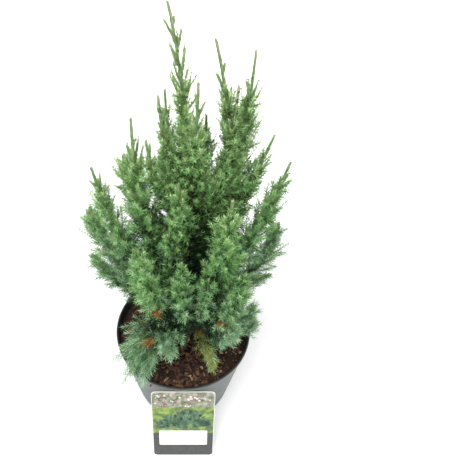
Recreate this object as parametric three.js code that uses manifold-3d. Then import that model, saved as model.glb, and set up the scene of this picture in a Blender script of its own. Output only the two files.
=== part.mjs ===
// Upright juniper in a nursery pot, about 0.66 m tall with its pot.
//
// One trunk carries the plumes of foliage. Every plume follows one line, which leaves the trunk,
// runs outwards and turns up towards the light. The bare first part of the line is its bough, and
// the green part is a mass of needles: a stem and side twigs, each set with whorls of three needles.
// Millimetres, +Z up, origin at the centre of the pot's flat underside, front of the plant at -Y.

import * as THREE from 'three';
import { mergeVertices } from 'three/addons/utils/BufferGeometryUtils.js';
import Module from 'manifold-3d';

const wasm = await Module();
wasm.setup();

// Pot
const POT_HEIGHT = 150;
const RIM_RADIUS = 95;
const FOOT_RADIUS = 70;
const WALL = 1.8;
const LIP_HEIGHT = 5;
const LIP_THICK = 3;
const POT_SEGMENTS = 36;

// Substrate and the clearance between pieces that touch
const SOIL_TOP = 138;
const SOIL_BUMP = 2.2;
const GAP = 0.3;

// Trunk
const TRUNK_END = 470;
const TRUNK_TIP = 661;
const TRUNK_LEAN = -12;
const TRUNK_SWAY = 18;
const TRUNK_SWAY_HEIGHT = 500;
const FLARE_RADIUS = 13;
const FLARE_HEIGHT = 12;
const TRUNK_RADIUS = 7.6;
const TRUNK_END_RADIUS = 3;
const TRUNK_SIDES = 9;
const TRUNK_STEPS = 16;

// Boughs
const BOUGH_RADIUS = 3.4;
const BOUGH_END_RADIUS = 1.9;
const BOUGH_SIDES = 6;
const BOUGH_STEPS = 4;

// Needles and twigs
const WHORL_PITCH = 21.5;
const TWIG_WHORL_PITCH = 17;
const NEEDLE_REACH = 9;
const CORE_FILL = 0.72;
const TWIG_NEEDLE_REACH = 11;
const STEM_CORE = 2.8;
const TWIG_CORE = 1.7;
const FINE_TWIG_SPACING = 3.4;
const FINE_TWIGS_PER_TWIG = 6;
const GOLDEN_TURN = 137.5 * Math.PI / 180;
const TWIG_ANGLE_LOW = 56 * Math.PI / 180;
const CROWN_ANGLE_LOW = 36 * Math.PI / 180;
const TWIG_ANGLE_HIGH = 20 * Math.PI / 180;
const STEEP_FROM = 0.6;
const TWIG_CURL = 0.2;
const SHORTEST_TWIG = 9;
const SHORTEST_SHARE = 0.7;
const LONGEST_SHARE = 1.25;
const NEEDLE_ROOM = 5;
const BARE_TIP_FROM = 250;
const BARE_TIP_RISE = 70;
const BARE_TIP_LEAST = 3;
const BARE_TIP_MOST = 28;
const BARE_TIP_CROWN = 0.6;
const TIP_REACH = 3.1;
const BARE_BOUGH = 0.3;
const BARE_SPRAY = 0.27;
const BARE_BACK = 0.32;
const BARE_CROWN = 0.06;
const TOOTH_LENGTH = 1.3;
const CLOSE_TOOTH_LENGTH = 0.9;
const ROOT_SHARE = 0.3;
const TWIG_SUNK = 0.38;

// Plant label: a card that stands on the floor and leans on the pot
const CARD_WIDTH = 87;
const CARD_LENGTH = 144;
const CARD_THICK = 0.5;
const CARD_CORNER = 5.5;
const CARD_FOOT_Y = -126;

// Plumes with a bough of their own: azimuth in degrees (-90 is the front, 0 the right side), height
// where the line leaves the trunk, reach of the tip from the pot's axis, height of the tip and half
// width. Two more numbers bend the line. The first is an arch: how far the knee lies above the higher
// end, so that a spray rises and then hangs over. The second is the knee's share of the reach.
const PLUMES = {
  right_leader: [19, 205, 72, 598, 31],
  right_inner_leader: [12, 290, 30, 622, 20, 0, 3.2],
  back_right_leader: [67, 252, 66, 490, 24],
  left_leader: [186, 236, 50, 541, 28, 0, 1.08],
  far_left_leader: [180, 212, 96, 470, 24, 0, 0.76],
  far_right_leader: [0, 196, 112, 477, 25, 0, 0.64],
  front_right_leader: [-57, 226, 87, 497, 26],
  front_left_plume: [-121, 218, 90, 427, 24],
  front_plume: [-91, 186, 72, 398, 21],
  front_right_plume: [-70, 206, 82, 376, 18],
  right_front_plume: [-50, 182, 103, 386, 22],
  left_front_plume: [197, 231, 108, 362, 17, 0, 0.8],
  left_plume: [168, 202, 111, 381, 28],
  right_plume: [11, 182, 118, 354, 23],
};

// Sprays that the trunk carries directly.
const SPRAYS = {
  low_right_spray: [-17, 238, 109, 324, 13, 0, 0.5],
  low_right_front_spray: [-27, 178, 97, 274, 16],
  right_rim_spray: [-21, 150, 99, 224, 13],
  left_rim_spray: [-127, 190, 101, 162, 21, 80],
  front_low_spray: [-105, 160, 78, 222, 18, 30],
  front_yellow_spray: [-59, 166, 78, 150, 15, 60],
  front_right_low_spray: [-44, 157, 86, 250, 19],
  right_outer_shoot: [4, 259, 93, 509, 22, 0, 0.45],
  right_inner_plume: [-50, 215, 83, 426, 17],
  front_small_plume: [-107, 195, 53, 386, 16],
};

// Plumes of the back, which the front hides: two tiers spread evenly over the back half.
const BACK_TIERS = [
  { count: 4, from: 45, to: 144, leave: 227, reach: 96, top: 408, half: 24 },
  { count: 4, from: 28, to: 152, leave: 162, reach: 104, top: 268, half: 22 },
];

// Plumes round the upper trunk, which carries them directly.
const CROWN_PLUMES = {
  crown_left: [175, 440, 23, 563, 13],
  crown_right: [-8, 378, 37, 484, 16.5],
  crown_right_high: [0, 330, 52, 576, 20],
  crown_front: [-96, 366, 40, 486, 18],
  crown_front_left: [-160, 392, 38, 520, 14],
  crown_back: [92, 404, 34, 528, 17],
  crown_back_left: [114, 330, 44, 540, 18],
  crown_front_high: [-40, 440, 19, 588, 15],
  crown_front_low: [-106, 300, 50, 427, 18],
};

// A repeatable random number from 0 to 1 for two seeds.
function rand(a, b) {
  const wave = Math.sin(a * 12.9898 + b * 78.233) * 43758.5453;
  return wave - Math.floor(wave);
}

function mix(a, b, t) {
  return a + (b - a) * t;
}

// Trunk line: a slow bow to the right that ends leaning left.
const trunkLine = new THREE.QuadraticBezierCurve3(
  new THREE.Vector3(0, 0, SOIL_TOP),
  new THREE.Vector3(TRUNK_SWAY, 0, TRUNK_SWAY_HEIGHT),
  new THREE.Vector3(TRUNK_LEAN, 0, TRUNK_TIP),
);

// Share of the trunk line at which it reaches a height: the root of its quadratic in z.
function trunkShare(height) {
  const a = SOIL_TOP - 2 * TRUNK_SWAY_HEIGHT + TRUNK_TIP;
  const b = 2 * (TRUNK_SWAY_HEIGHT - SOIL_TOP);
  const c = SOIL_TOP - height;
  return (-b + Math.sqrt(b * b - 4 * a * c)) / (2 * a);
}

function trunkRadius(height) {
  const climb = (height - SOIL_TOP) / (TRUNK_END - SOIL_TOP);
  const flare = (FLARE_RADIUS - TRUNK_RADIUS) * Math.exp(-(height - SOIL_TOP) / FLARE_HEIGHT);
  return mix(TRUNK_RADIUS, TRUNK_END_RADIUS, Math.min(Math.max(climb, 0), 1)) + flare;
}

// A plume's line, from the trunk's axis to the tip. It stays in one upright plane.
function plumeLine(azimuth, leave, reach, top, arch, bow) {
  const angle = azimuth * Math.PI / 180;
  const start = trunkLine.getPoint(trunkShare(leave));
  const tip = new THREE.Vector3(reach * Math.cos(angle), reach * Math.sin(angle), top);
  const out = arch > 0 ? 0.62 : bow;
  const knee = new THREE.Vector3().lerpVectors(start, tip, out);
  knee.z = arch > 0 ? Math.max(leave, top) + arch : mix(leave, top, 0.3);
  return new THREE.QuadraticBezierCurve3(start, knee, tip);
}

// Half width of a plume along its green part: full a third of the way up and an eighth at the tip.
function plumeProfile(t) {
  const swell = Math.min(t / 0.3, 1);
  return mix(0.6, 1, swell) * mix(1, 0.12, Math.max(0, (t - 0.3) / 0.7));
}

// Frame of a line at share t: its direction, a sideways vector and the third axis. The sideways vector
// is level, or the one that is given, which keeps a steep line's frame from turning over.
function frameAt(line, t, across) {
  const along = line.getTangent(t);
  const flat = new THREE.Vector3(along.x, along.y, 0);
  const level = flat.lengthSq() > 1e-6
    ? new THREE.Vector3(flat.y, -flat.x, 0).normalize()
    : new THREE.Vector3(0, 1, 0);
  const side = across ?? level;
  const up = new THREE.Vector3().crossVectors(side, along);
  return { point: line.getPoint(t), along, side, up };
}

// All plumes, in the order in which they are grown.
function listPlumes() {
  const plumes = [];
  const add = (name, numbers, bare, kind = {}) => {
    const [azimuth, leave, reach, top, half, arch = 0, bow = 0.9] = numbers;
    const line = plumeLine(azimuth, leave, reach, top, arch, bow);
    const seed = plumes.length + 1;
    plumes.push({ name, half, bare, line, length: line.getLength(), seed, ...kind });
  };
  for (const [name, numbers] of Object.entries(PLUMES)) add(name, numbers, BARE_BOUGH, { bough: true });
  for (const [name, numbers] of Object.entries(SPRAYS)) add(name, numbers, BARE_SPRAY);
  BACK_TIERS.forEach((tier, level) => {
    for (let i = 0; i < tier.count; i++) {
      const share = (i + 0.5) / tier.count;
      const jitter = rand(level + 1, i + 1) - 0.5;
      const numbers = [
        mix(tier.from, tier.to, share) + 8 * jitter,
        tier.leave + 11 * i - 9 * jitter,
        tier.reach * (1 + 0.1 * jitter),
        tier.top + 44 * jitter,
        tier.half,
      ];
      add(`back_plume_${level + 1}_${i + 1}`, numbers, BARE_BACK);
    }
  });
  for (const [name, numbers] of Object.entries(CROWN_PLUMES)) add(name, numbers, BARE_CROWN, { crown: true });
  return plumes;
}

const plumes = listPlumes();

// The top of the trunk carries the highest plume, which goes on along the trunk's own line.
const topLine = new THREE.CatmullRomCurve3(
  [0, 0.25, 0.5, 0.75, 1].map((s) => trunkLine.getPoint(mix(trunkShare(TRUNK_END), 1, s))),
);
plumes.push({
  name: 'top', half: 16, bare: 0, line: topLine, length: topLine.getLength(),
  seed: plumes.length + 1, onTip: true,
});

// The last piece of each line carries no side twigs. It is longer the higher the tip and the wider the
// plume, and shorter on the plumes round the upper trunk.
for (const plume of plumes) {
  const rise = Math.max((plume.line.getPoint(1).z - BARE_TIP_FROM) / BARE_TIP_RISE, 0);
  const bareTip = (rise * Math.min(plume.half / 20, 1)) ** 2 * (plume.crown ? BARE_TIP_CROWN : 1);
  plume.bareTip = Math.min(Math.max(bareTip, BARE_TIP_LEAST), BARE_TIP_MOST);
  plume.samples = Array.from({ length: 25 }, (_, i) => plume.line.getPoint(i / 24));
  const out = plume.samples[24].clone().sub(plume.samples[0]);
  plume.across = new THREE.Vector3(out.y, -out.x, 0).normalize();
}

// Distance from a point to a plume's line, between its sample points.
const segment = new THREE.Line3();
const nearest = new THREE.Vector3();
function distanceTo(plume, point) {
  let best = Infinity;
  for (let i = 1; i < plume.samples.length; i++) {
    segment.set(plume.samples[i - 1], plume.samples[i]);
    segment.closestPointToPoint(point, true, nearest);
    best = Math.min(best, nearest.distanceTo(point));
  }
  return best;
}

// Radius that a plume may fill round a point: its share of the way to every other line, the trunk,
// the substrate and the pot's rim.
function freeRadius(plume, point) {
  const own = distanceTo(plume, point);
  let free = Infinity;
  for (const other of plumes) {
    if (other === plume) continue;
    const away = distanceTo(other, point);
    const share = plume.half / (plume.half + other.half);
    free = Math.min(free, share * away - (1 - share) * own);
  }
  if (point.z < TRUNK_END + 4) {
    const axis = trunkLine.getPoint(trunkShare(Math.max(point.z, SOIL_TOP)));
    const away = Math.hypot(point.x - axis.x, point.y - axis.y);
    free = Math.min(free, (away - trunkRadius(point.z)) * 0.85);
  }
  const out = Math.hypot(point.x, point.y);
  const floor = out < RIM_RADIUS - 12 ? SOIL_TOP + SOIL_BUMP : POT_HEIGHT + 1;
  if (out < RIM_RADIUS + 8) free = Math.min(free, point.z - floor);
  return free - GAP;
}

// Turns the vertices of a lathe about its axis, then bends the axis onto a line. `ringTurn` is the
// turn of each ring, and `place` gives the frame at a distance along the axis.
function bend(geometry, ringTurn, place) {
  const position = geometry.getAttribute('position');
  const rings = ringTurn.length;
  const vertex = new THREE.Vector3();
  for (let i = 0; i < position.count; i++) {
    vertex.fromBufferAttribute(position, i);
    const radius = Math.hypot(vertex.x, vertex.z);
    const angle = Math.atan2(vertex.x, vertex.z) + ringTurn[i % rings];
    const frame = place(vertex.y);
    vertex.copy(frame.point)
      .addScaledVector(frame.up, radius * Math.cos(angle))
      .addScaledVector(frame.side, radius * Math.sin(angle));
    position.setXYZ(i, vertex.x, vertex.y, vertex.z);
  }
  return geometry;
}

// A shoot set with whorls of three needles: a three-sided stem that flares into three teeth at each
// whorl. A wide tooth is longer than the step to the next whorl's root, so it stands out of the stem.
// A tooth close to the stem stays short of that root, so that its wall doesn't pass through the stem.
function shoot(length, whorls, bareLength, core, reachAt, place, firstTurn) {
  const profile = [new THREE.Vector2(0, 0), new THREE.Vector2(core, 0)];
  const turns = [firstTurn, firstTurn];
  let turn = firstTurn;
  const pitch = (length - bareLength) / (whorls + 0.75);
  for (let k = 0; k < whorls; k++) {
    const root = bareLength + k * pitch;
    const taper = 1 - 0.45 * k / whorls;
    const reach = Math.max(reachAt(root + pitch), 1.6 * core * taper);
    if (k > 0 || bareLength > 0) {
      const waist = k > 0 ? ROOT_SHARE * profile[profile.length - 1].x : core;
      profile.push(new THREE.Vector2(Math.max(waist, core * taper), root));
      turns.push(turn);
    }
    turn += Math.PI / 3;
    const stands = ROOT_SHARE * reach >= core * taper;
    profile.push(new THREE.Vector2(reach, root + (stands ? TOOTH_LENGTH : CLOSE_TOOTH_LENGTH) * pitch));
    turns.push(turn);
    turn += Math.PI / 6;
  }
  profile.push(new THREE.Vector2(0, length));
  turns.push(turn);
  return bend(new THREE.LatheGeometry(profile, 3), turns, place);
}

function solidOf(geometry) {
  const bare = geometry.clone();
  bare.deleteAttribute('normal');
  bare.deleteAttribute('uv');
  const merged = mergeVertices(bare, 1e-3);
  const triangles = [];
  const index = merged.getIndex().array;
  for (let i = 0; i < index.length; i += 3) {
    const [a, b, c] = [index[i], index[i + 1], index[i + 2]];
    if (a !== b && b !== c && c !== a) triangles.push(a, b, c);
  }
  const mesh = new wasm.Mesh({
    numProp: 3,
    vertProperties: Float32Array.from(merged.getAttribute('position').array),
    triVerts: Uint32Array.from(triangles),
  });
  return new wasm.Manifold(mesh);
}

function geometryOf(solid) {
  const mesh = solid.getMesh();
  const geometry = new THREE.BufferGeometry();
  geometry.setAttribute('position', new THREE.BufferAttribute(mesh.vertProperties, 3));
  geometry.setIndex(new THREE.BufferAttribute(mesh.triVerts, 1));
  geometry.computeVertexNormals();
  return geometry;
}

// A tapering limb with flat ends, bent onto a line between two shares of it.
function limb(line, from, to, startRadius, endRadius, sides, steps) {
  const geometry = new THREE.CylinderGeometry(endRadius, startRadius, 1, sides, steps);
  const position = geometry.getAttribute('position');
  for (let i = 0; i < position.count; i++) {
    const frame = frameAt(line, mix(from, to, position.getY(i) + 0.5));
    const point = frame.point
      .addScaledVector(frame.side, position.getX(i))
      .addScaledVector(frame.up, position.getZ(i));
    position.setXYZ(i, point.x, point.y, point.z);
  }
  return geometry;
}

function trunk(extra) {
  const geometry = new THREE.CylinderGeometry(1, 1, 1, TRUNK_SIDES, TRUNK_STEPS);
  const position = geometry.getAttribute('position');
  for (let i = 0; i < position.count; i++) {
    const climb = (position.getY(i) + 0.5) ** 1.3;
    const height = mix(SOIL_TOP + GAP, TRUNK_END, climb);
    const axis = trunkLine.getPoint(trunkShare(height));
    const angle = Math.atan2(position.getZ(i), position.getX(i));
    const root = 1 + 0.16 * Math.cos(4 * angle + 1) * Math.exp(-(height - SOIL_TOP) / FLARE_HEIGHT);
    const radius = (trunkRadius(height) * root + extra) * Math.hypot(position.getX(i), position.getZ(i));
    position.setXYZ(i, axis.x + radius * Math.cos(angle), axis.y - radius * Math.sin(angle), height);
  }
  return geometry;
}

const trunkClearance = solidOf(trunk(GAP));

// The largest piece of a cut solid: what the cut leaves on the trunk's far side is dropped.
function largest(solid) {
  return solid.decompose().reduce((best, part) => (part.volume() > best.volume() ? part : best));
}

// Share of the plume's line at which its green part starts, and the bough's end just before it.
function greenStart(plume) {
  return plume.bough ? plume.bare : 0;
}

// One mass: the stem's shoot with the side twigs' shoots sunk into it.
function mass(plume) {
  const { line, length, half, seed } = plume;
  const begin = plume.onTip ? GAP / length : greenStart(plume) + (plume.bough ? GAP / length : 0);
  const bareLength = plume.bough || plume.onTip ? 0 : plume.bare * length;
  const stemLength = length * (1 - begin);
  const greenLength = stemLength - bareLength;
  const shareAt = (s) => Math.min(begin + s / length, 1);
  const stemPlace = (s) => frameAt(line, shareAt(s));
  const stemReach = (s) => {
    if (s > stemLength - plume.bareTip) return TIP_REACH;
    const t = (s - bareLength) / greenLength;
    const slim = NEEDLE_REACH * mix(1, 0.4, Math.min(t, 1) ** 2);
    const wish = Math.max(slim, CORE_FILL * half * plumeProfile(Math.min(t, 1)));
    return Math.max(Math.min(wish, freeRadius(plume, line.getPoint(shareAt(s)))), STEM_CORE);
  };
  const whorls = Math.max(3, Math.round(greenLength / WHORL_PITCH));
  const core = plume.onTip ? TRUNK_END_RADIUS : STEM_CORE;
  const steadyPlace = (s) => frameAt(line, shareAt(s), plume.across);
  let solid = solidOf(shoot(stemLength, whorls, bareLength, core, stemReach, steadyPlace, seed));

  const fineTwigs = Math.round(greenLength * 0.9 / FINE_TWIG_SPACING);
  const angleLow = plume.crown || plume.onTip ? CROWN_ANGLE_LOW : TWIG_ANGLE_LOW;
  for (let i = 0; i < fineTwigs; i += FINE_TWIGS_PER_TWIG) {
    const t = (i + 0.5) / fineTwigs * 0.9;
    const frame = stemPlace(bareLength + t * greenLength);
    const around = i * GOLDEN_TURN + seed;
    const angle = mix(angleLow, TWIG_ANGLE_HIGH, Math.min(t / STEEP_FROM, 1));
    const outward = frame.up.clone().multiplyScalar(Math.cos(around))
      .addScaledVector(frame.side, Math.sin(around));
    const heading = frame.along.clone().multiplyScalar(Math.cos(angle))
      .addScaledVector(outward, Math.sin(angle));
    const room = (half * plumeProfile(t) - NEEDLE_ROOM * (1 - t)) / Math.sin(angle);
    const ahead = (greenLength * (1 - t) - plume.bareTip) / Math.cos(angle);
    const wish = Math.min(room * mix(SHORTEST_SHARE, LONGEST_SHARE, rand(seed, i)), ahead);
    const twig = growTwig(plume, frame, heading, wish, around);
    if (twig) solid = solid.add(twig);
  }
  if (!plume.bough && !plume.onTip) solid = solid.subtract(trunkClearance);
  return geometryOf(largest(solid));
}

// A side twig at its full length, or shortened to stay inside its plume's space, or left out.
function growTwig(plume, frame, heading, wish, around) {
  for (const share of [1, 0.8, 0.6, 0.42]) {
    const length = wish * share;
    if (length < SHORTEST_TWIG) return null;
    const at = (u) => frame.point.clone()
      .addScaledVector(heading, length * u)
      .addScaledVector(frame.along, length * TWIG_CURL * u * u);
    const clear = [0.35, 0.5, 0.75, 1].every((u) => freeRadius(plume, at(u)) > (u < 1 ? 3.5 : 1.5));
    if (!clear) continue;
    const line = new THREE.QuadraticBezierCurve3(
      at(0),
      frame.point.clone().addScaledVector(heading, length / 2),
      at(1),
    );
    const reachAt = (s) => {
      const u = Math.min(s / length, 1);
      const free = freeRadius(plume, at(u));
      return Math.max(Math.min(TWIG_NEEDLE_REACH * mix(1, 0.6, u), free), TWIG_CORE * 1.3);
    };
    const sunk = TWIG_SUNK * length;
    const whorls = Math.max(1, Math.round((length - sunk) / TWIG_WHORL_PITCH));
    const across = new THREE.Vector3().crossVectors(heading, frame.along).normalize();
    const place = (s) => frameAt(line, Math.min(s / length, 1), across);
    return solidOf(shoot(length, whorls, sunk, TWIG_CORE, reachAt, place, around));
  }
  return null;
}

function bough(plume) {
  const raw = solidOf(limb(
    plume.line, 0, greenStart(plume), BOUGH_RADIUS, BOUGH_END_RADIUS, BOUGH_SIDES, BOUGH_STEPS,
  ));
  return geometryOf(largest(raw.subtract(trunkClearance)));
}

// Nursery pot: a tapering wall under a narrow lip, open at the top, flat underneath.
function pot() {
  const slope = (RIM_RADIUS - LIP_THICK + WALL - FOOT_RADIUS) / POT_HEIGHT;
  const wallAt = (height) => FOOT_RADIUS + slope * height;
  const lipFoot = POT_HEIGHT - LIP_HEIGHT;
  const profile = [
    [0, 0],
    [FOOT_RADIUS - 2, 0],
    [FOOT_RADIUS, 2],
    [wallAt(lipFoot), lipFoot],
    [RIM_RADIUS, lipFoot + 1],
    [RIM_RADIUS, POT_HEIGHT - 1],
    [RIM_RADIUS - 1, POT_HEIGHT],
    [RIM_RADIUS - LIP_THICK, POT_HEIGHT],
    [wallAt(lipFoot) - WALL, lipFoot],
    [FOOT_RADIUS - WALL, WALL],
    [0, WALL],
  ];
  return new THREE.LatheGeometry(profile.map(([r, z]) => new THREE.Vector2(r, z)), POT_SEGMENTS)
    .rotateX(Math.PI / 2);
}

// Substrate: fills the pot to a little under the rim, uneven except round the trunk's foot.
function substrate() {
  const slope = (RIM_RADIUS - LIP_THICK + WALL - FOOT_RADIUS) / POT_HEIGHT;
  const inside = (height) => FOOT_RADIUS + slope * height - WALL - GAP - 0.3;
  const rings = [88, 74, 60, 46, 32];
  const profile = [[0, WALL + GAP], [inside(WALL) - 0.4, WALL + GAP], [inside(SOIL_TOP), SOIL_TOP]]
    .concat(rings.slice(1).map((r) => [r, SOIL_TOP]))
    .concat([[20, SOIL_TOP], [0, SOIL_TOP]]);
  const geometry = new THREE.LatheGeometry(profile.map(([r, z]) => new THREE.Vector2(r, z)), 24)
    .rotateX(Math.PI / 2);
  const position = geometry.getAttribute('position');
  for (let i = 0; i < position.count; i++) {
    const [x, y, z] = [position.getX(i), position.getY(i), position.getZ(i)];
    const out = Math.hypot(x, y);
    if (z < SOIL_TOP - 1 || out < 25 || out > 80) continue;
    const sector = Math.round(Math.atan2(y, x) / (2 * Math.PI) * 24 + 24) % 24;
    position.setZ(i, z + SOIL_BUMP * (rand(sector, Math.round(out)) - 0.5));
  }
  return geometry;
}

// Label card: a thin rounded sheet with its foot on the floor and its top edge at the pot's wall.
function labelCard() {
  const [w, h, r] = [CARD_WIDTH / 2, CARD_LENGTH, CARD_CORNER];
  const outline = new THREE.Shape();
  outline.moveTo(-w + r, 0).lineTo(w - r, 0).absarc(w - r, r, r, -Math.PI / 2, 0)
    .lineTo(w, h - r).absarc(w - r, h - r, r, 0, Math.PI / 2)
    .lineTo(-w + r, h).absarc(-w + r, h - r, r, Math.PI / 2, Math.PI)
    .lineTo(-w, r).absarc(-w + r, r, r, Math.PI, 1.5 * Math.PI);
  const card = new THREE.ExtrudeGeometry(outline, {
    depth: CARD_THICK, bevelEnabled: false, curveSegments: 3,
  });
  const wallSlope = (RIM_RADIUS - LIP_THICK + WALL - FOOT_RADIUS) / POT_HEIGHT;
  const wallTop = FOOT_RADIUS + wallSlope * (POT_HEIGHT - LIP_HEIGHT - 4);
  const lean = Math.asin((-CARD_FOOT_Y - wallTop - CARD_THICK - GAP) / CARD_LENGTH);
  return card.rotateX(Math.PI / 2 - lean).translate(0, CARD_FOOT_Y, 0);
}

function piece(name, geometry, colour, roughness) {
  const material = new THREE.MeshStandardMaterial({ color: colour, roughness, metalness: 0 });
  const mesh = new THREE.Mesh(geometry, material);
  mesh.name = name;
  return mesh;
}

const group = new THREE.Group();
group.add(piece('pot', pot(), 0x6b7774, 0.45));
group.add(piece('substrate', substrate(), 0x483c2b, 0.95));
group.add(piece('label_card', labelCard(), 0xd8dccb, 0.4));
group.add(piece('trunk', trunk(0), 0x5c4432, 0.9));
for (const plume of plumes) {
  if (plume.bough) group.add(piece(`bough_${plume.name}`, bough(plume), 0x6a4e38, 0.9));
}
for (const plume of plumes) group.add(piece(`mass_${plume.name}`, mass(plume), 0x5f8a4f, 0.8));

export default group;
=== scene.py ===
# %% [markdown]
# A young upright juniper in a nursery pot
#
# The plant is a trunk with some forty plumes of prickly needles round it. Its solids are packed
# already, and they say how big it is and where each plume runs. Here every mass of foliage is grown
# again by the same rule, down to single needles, and the pot, the substrate, the bark and the plant's
# label get their real surfaces.

# %% Load the frame
import math

import bpy
import numpy as np
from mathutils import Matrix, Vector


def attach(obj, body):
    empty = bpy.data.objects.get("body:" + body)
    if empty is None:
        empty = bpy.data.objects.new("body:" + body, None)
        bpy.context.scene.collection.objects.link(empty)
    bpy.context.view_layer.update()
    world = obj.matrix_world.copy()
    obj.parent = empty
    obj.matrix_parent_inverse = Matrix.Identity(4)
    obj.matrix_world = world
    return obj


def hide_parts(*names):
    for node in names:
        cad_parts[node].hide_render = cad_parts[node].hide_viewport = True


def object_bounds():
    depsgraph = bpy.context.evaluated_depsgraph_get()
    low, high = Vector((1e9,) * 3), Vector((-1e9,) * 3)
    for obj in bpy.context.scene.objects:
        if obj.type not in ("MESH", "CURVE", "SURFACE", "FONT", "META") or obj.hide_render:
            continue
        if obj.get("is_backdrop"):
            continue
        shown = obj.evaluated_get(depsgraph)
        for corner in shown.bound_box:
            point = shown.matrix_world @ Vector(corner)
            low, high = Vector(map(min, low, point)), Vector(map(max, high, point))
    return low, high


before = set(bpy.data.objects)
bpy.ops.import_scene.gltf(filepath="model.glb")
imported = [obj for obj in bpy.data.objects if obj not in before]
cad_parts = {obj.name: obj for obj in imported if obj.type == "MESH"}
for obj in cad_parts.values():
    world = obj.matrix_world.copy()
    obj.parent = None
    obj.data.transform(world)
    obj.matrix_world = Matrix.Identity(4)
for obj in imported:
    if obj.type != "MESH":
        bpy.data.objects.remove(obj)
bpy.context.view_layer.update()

# %% [markdown]
# Colours are given as sRGB hex values, but the renderer mixes light in linear values. One
# function turns the one into the other, so that no colour is typed twice.

# %% Colour and node helpers


def linear(hex_colour):
    """Linear RGBA of an sRGB hex colour: c/12.92 in the dark end, ((c+0.055)/1.055)^2.4 above it."""
    parts = [int(hex_colour[i:i + 2], 16) / 255 for i in (1, 3, 5)]
    return [c / 12.92 if c <= 0.04045 else ((c + 0.055) / 1.055) ** 2.4 for c in parts] + [1.0]


def add_node(tree, kind, settings=(), links=()):
    """Adds one node, sets its properties or inputs by name, and links its inputs to other sockets."""
    node = tree.nodes.new(kind)
    for key, value in dict(settings).items():
        if isinstance(key, str) and hasattr(node, key):
            setattr(node, key, value)
        else:
            node.inputs[key].default_value = value
    for key, source in dict(links).items():
        tree.links.new(source, node.inputs[key])
    return node


def new_material(name, hex_colour, roughness, specular=0.5):
    """A Principled material with one plain base colour, and its tree and shader for more nodes."""
    material = bpy.data.materials.new(name)
    material.use_nodes = True
    tree = material.node_tree
    shader = tree.nodes["Principled BSDF"]
    shader.inputs["Base Color"].default_value = linear(hex_colour)
    shader.inputs["Roughness"].default_value = roughness
    shader.inputs["Specular IOR Level"].default_value = specular
    return material, tree, shader


# %% [markdown]
# Meshes come from arrays: points in millimetres and triangles of point numbers. Numpy works out all
# points at once, and foreach_set copies them into the mesh, which is many times faster than adding
# vertices one by one. That matters here, because there are some 190,000 needles.

# %% Mesh helpers
MM = 0.001


def new_piece(name, points, triangles, material, replaced=(), smooth=False, indices=None):
    """Makes a mesh object from points in millimetres and triangles, riding on the plant's one body.

    `replaced` lists the solids that it stands for, which it hides.
    With a list of materials, `indices` says which of them each triangle has."""
    mesh = bpy.data.meshes.new(name)
    mesh.vertices.add(len(points))
    mesh.vertices.foreach_set("co", (np.asarray(points) * MM).astype(np.float32).ravel())
    mesh.loops.add(triangles.size)
    mesh.loops.foreach_set("vertex_index", triangles.astype(np.int32).ravel())
    mesh.polygons.add(len(triangles))
    mesh.polygons.foreach_set("loop_start", np.arange(0, triangles.size, 3, dtype=np.int32))
    for one in (material if isinstance(material, list) else [material]):
        mesh.materials.append(one)
    if indices is not None:
        mesh.polygons.foreach_set("material_index", indices.astype(np.int32))
    mesh.polygons.foreach_set("use_smooth", np.full(len(triangles), smooth))
    mesh.update(calc_edges=True)
    piece = bpy.data.objects.new(name, mesh)
    bpy.context.scene.collection.objects.link(piece)
    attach(piece, "root")
    if replaced:
        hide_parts(*replaced)
    print(f"{name}: {len(points)} points, {len(triangles)} triangles")
    return piece


def tube_triangles(rings, sides):
    """Triangles of a tube of rings of points: two per quad, and a fan to a centre point at each end.

    The points are the rings in order, then the centre of the first ring, then that of the last."""
    ring, side = np.meshgrid(np.arange(rings - 1), np.arange(sides), indexing="ij")
    a = ring * sides + side
    b = ring * sides + (side + 1) % sides
    wall = np.concatenate([np.stack([a, b, b + sides], -1).reshape(-1, 3),
                           np.stack([a, b + sides, a + sides], -1).reshape(-1, 3)])
    s = np.arange(sides)
    first, last = rings * sides, rings * sides + 1
    foot = np.stack([np.full(sides, first), (s + 1) % sides, s], -1)
    head = np.stack([np.full(sides, last), (rings - 1) * sides + s,
                     (rings - 1) * sides + (s + 1) % sides], -1)
    return np.concatenate([wall, foot, head])


def lathe(profile, segments):
    """Surface of revolution of (radius, height) points about Z, which starts and ends on the axis.

    Each point is (r cos a, r sin a, h) for evenly spaced angles a."""
    profile = np.asarray(profile, float)
    angle = np.linspace(0, 2 * np.pi, segments, endpoint=False)
    inner = profile[1:-1]
    rings = np.stack([inner[:, :1] * np.cos(angle), inner[:, :1] * np.sin(angle),
                      np.repeat(inner[:, 1:], segments, 1)], -1)
    ends = np.array([[0, 0, profile[0, 1]], [0, 0, profile[-1, 1]]])
    return np.concatenate([rings.reshape(-1, 3), ends]), tube_triangles(len(inner), segments)


def grain(points, size, seed, waves=14):
    """Smooth noise about 0, within about 1: the mean of sine waves of random direction and phase.

    Each wave is sin(k . p + phase), with wavelengths from 0.6 to 1.8 times `size` millimetres."""
    draw = np.random.default_rng(seed)
    heading = draw.normal(size=(waves, 3))
    heading /= np.linalg.norm(heading, axis=1, keepdims=True)
    number = 2 * np.pi / (size * draw.uniform(0.6, 1.8, (waves, 1)))
    phase = draw.uniform(0, 2 * np.pi, waves)
    return np.sin(np.asarray(points) @ (heading * number).T + phase).sum(-1) / math.sqrt(waves)


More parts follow.
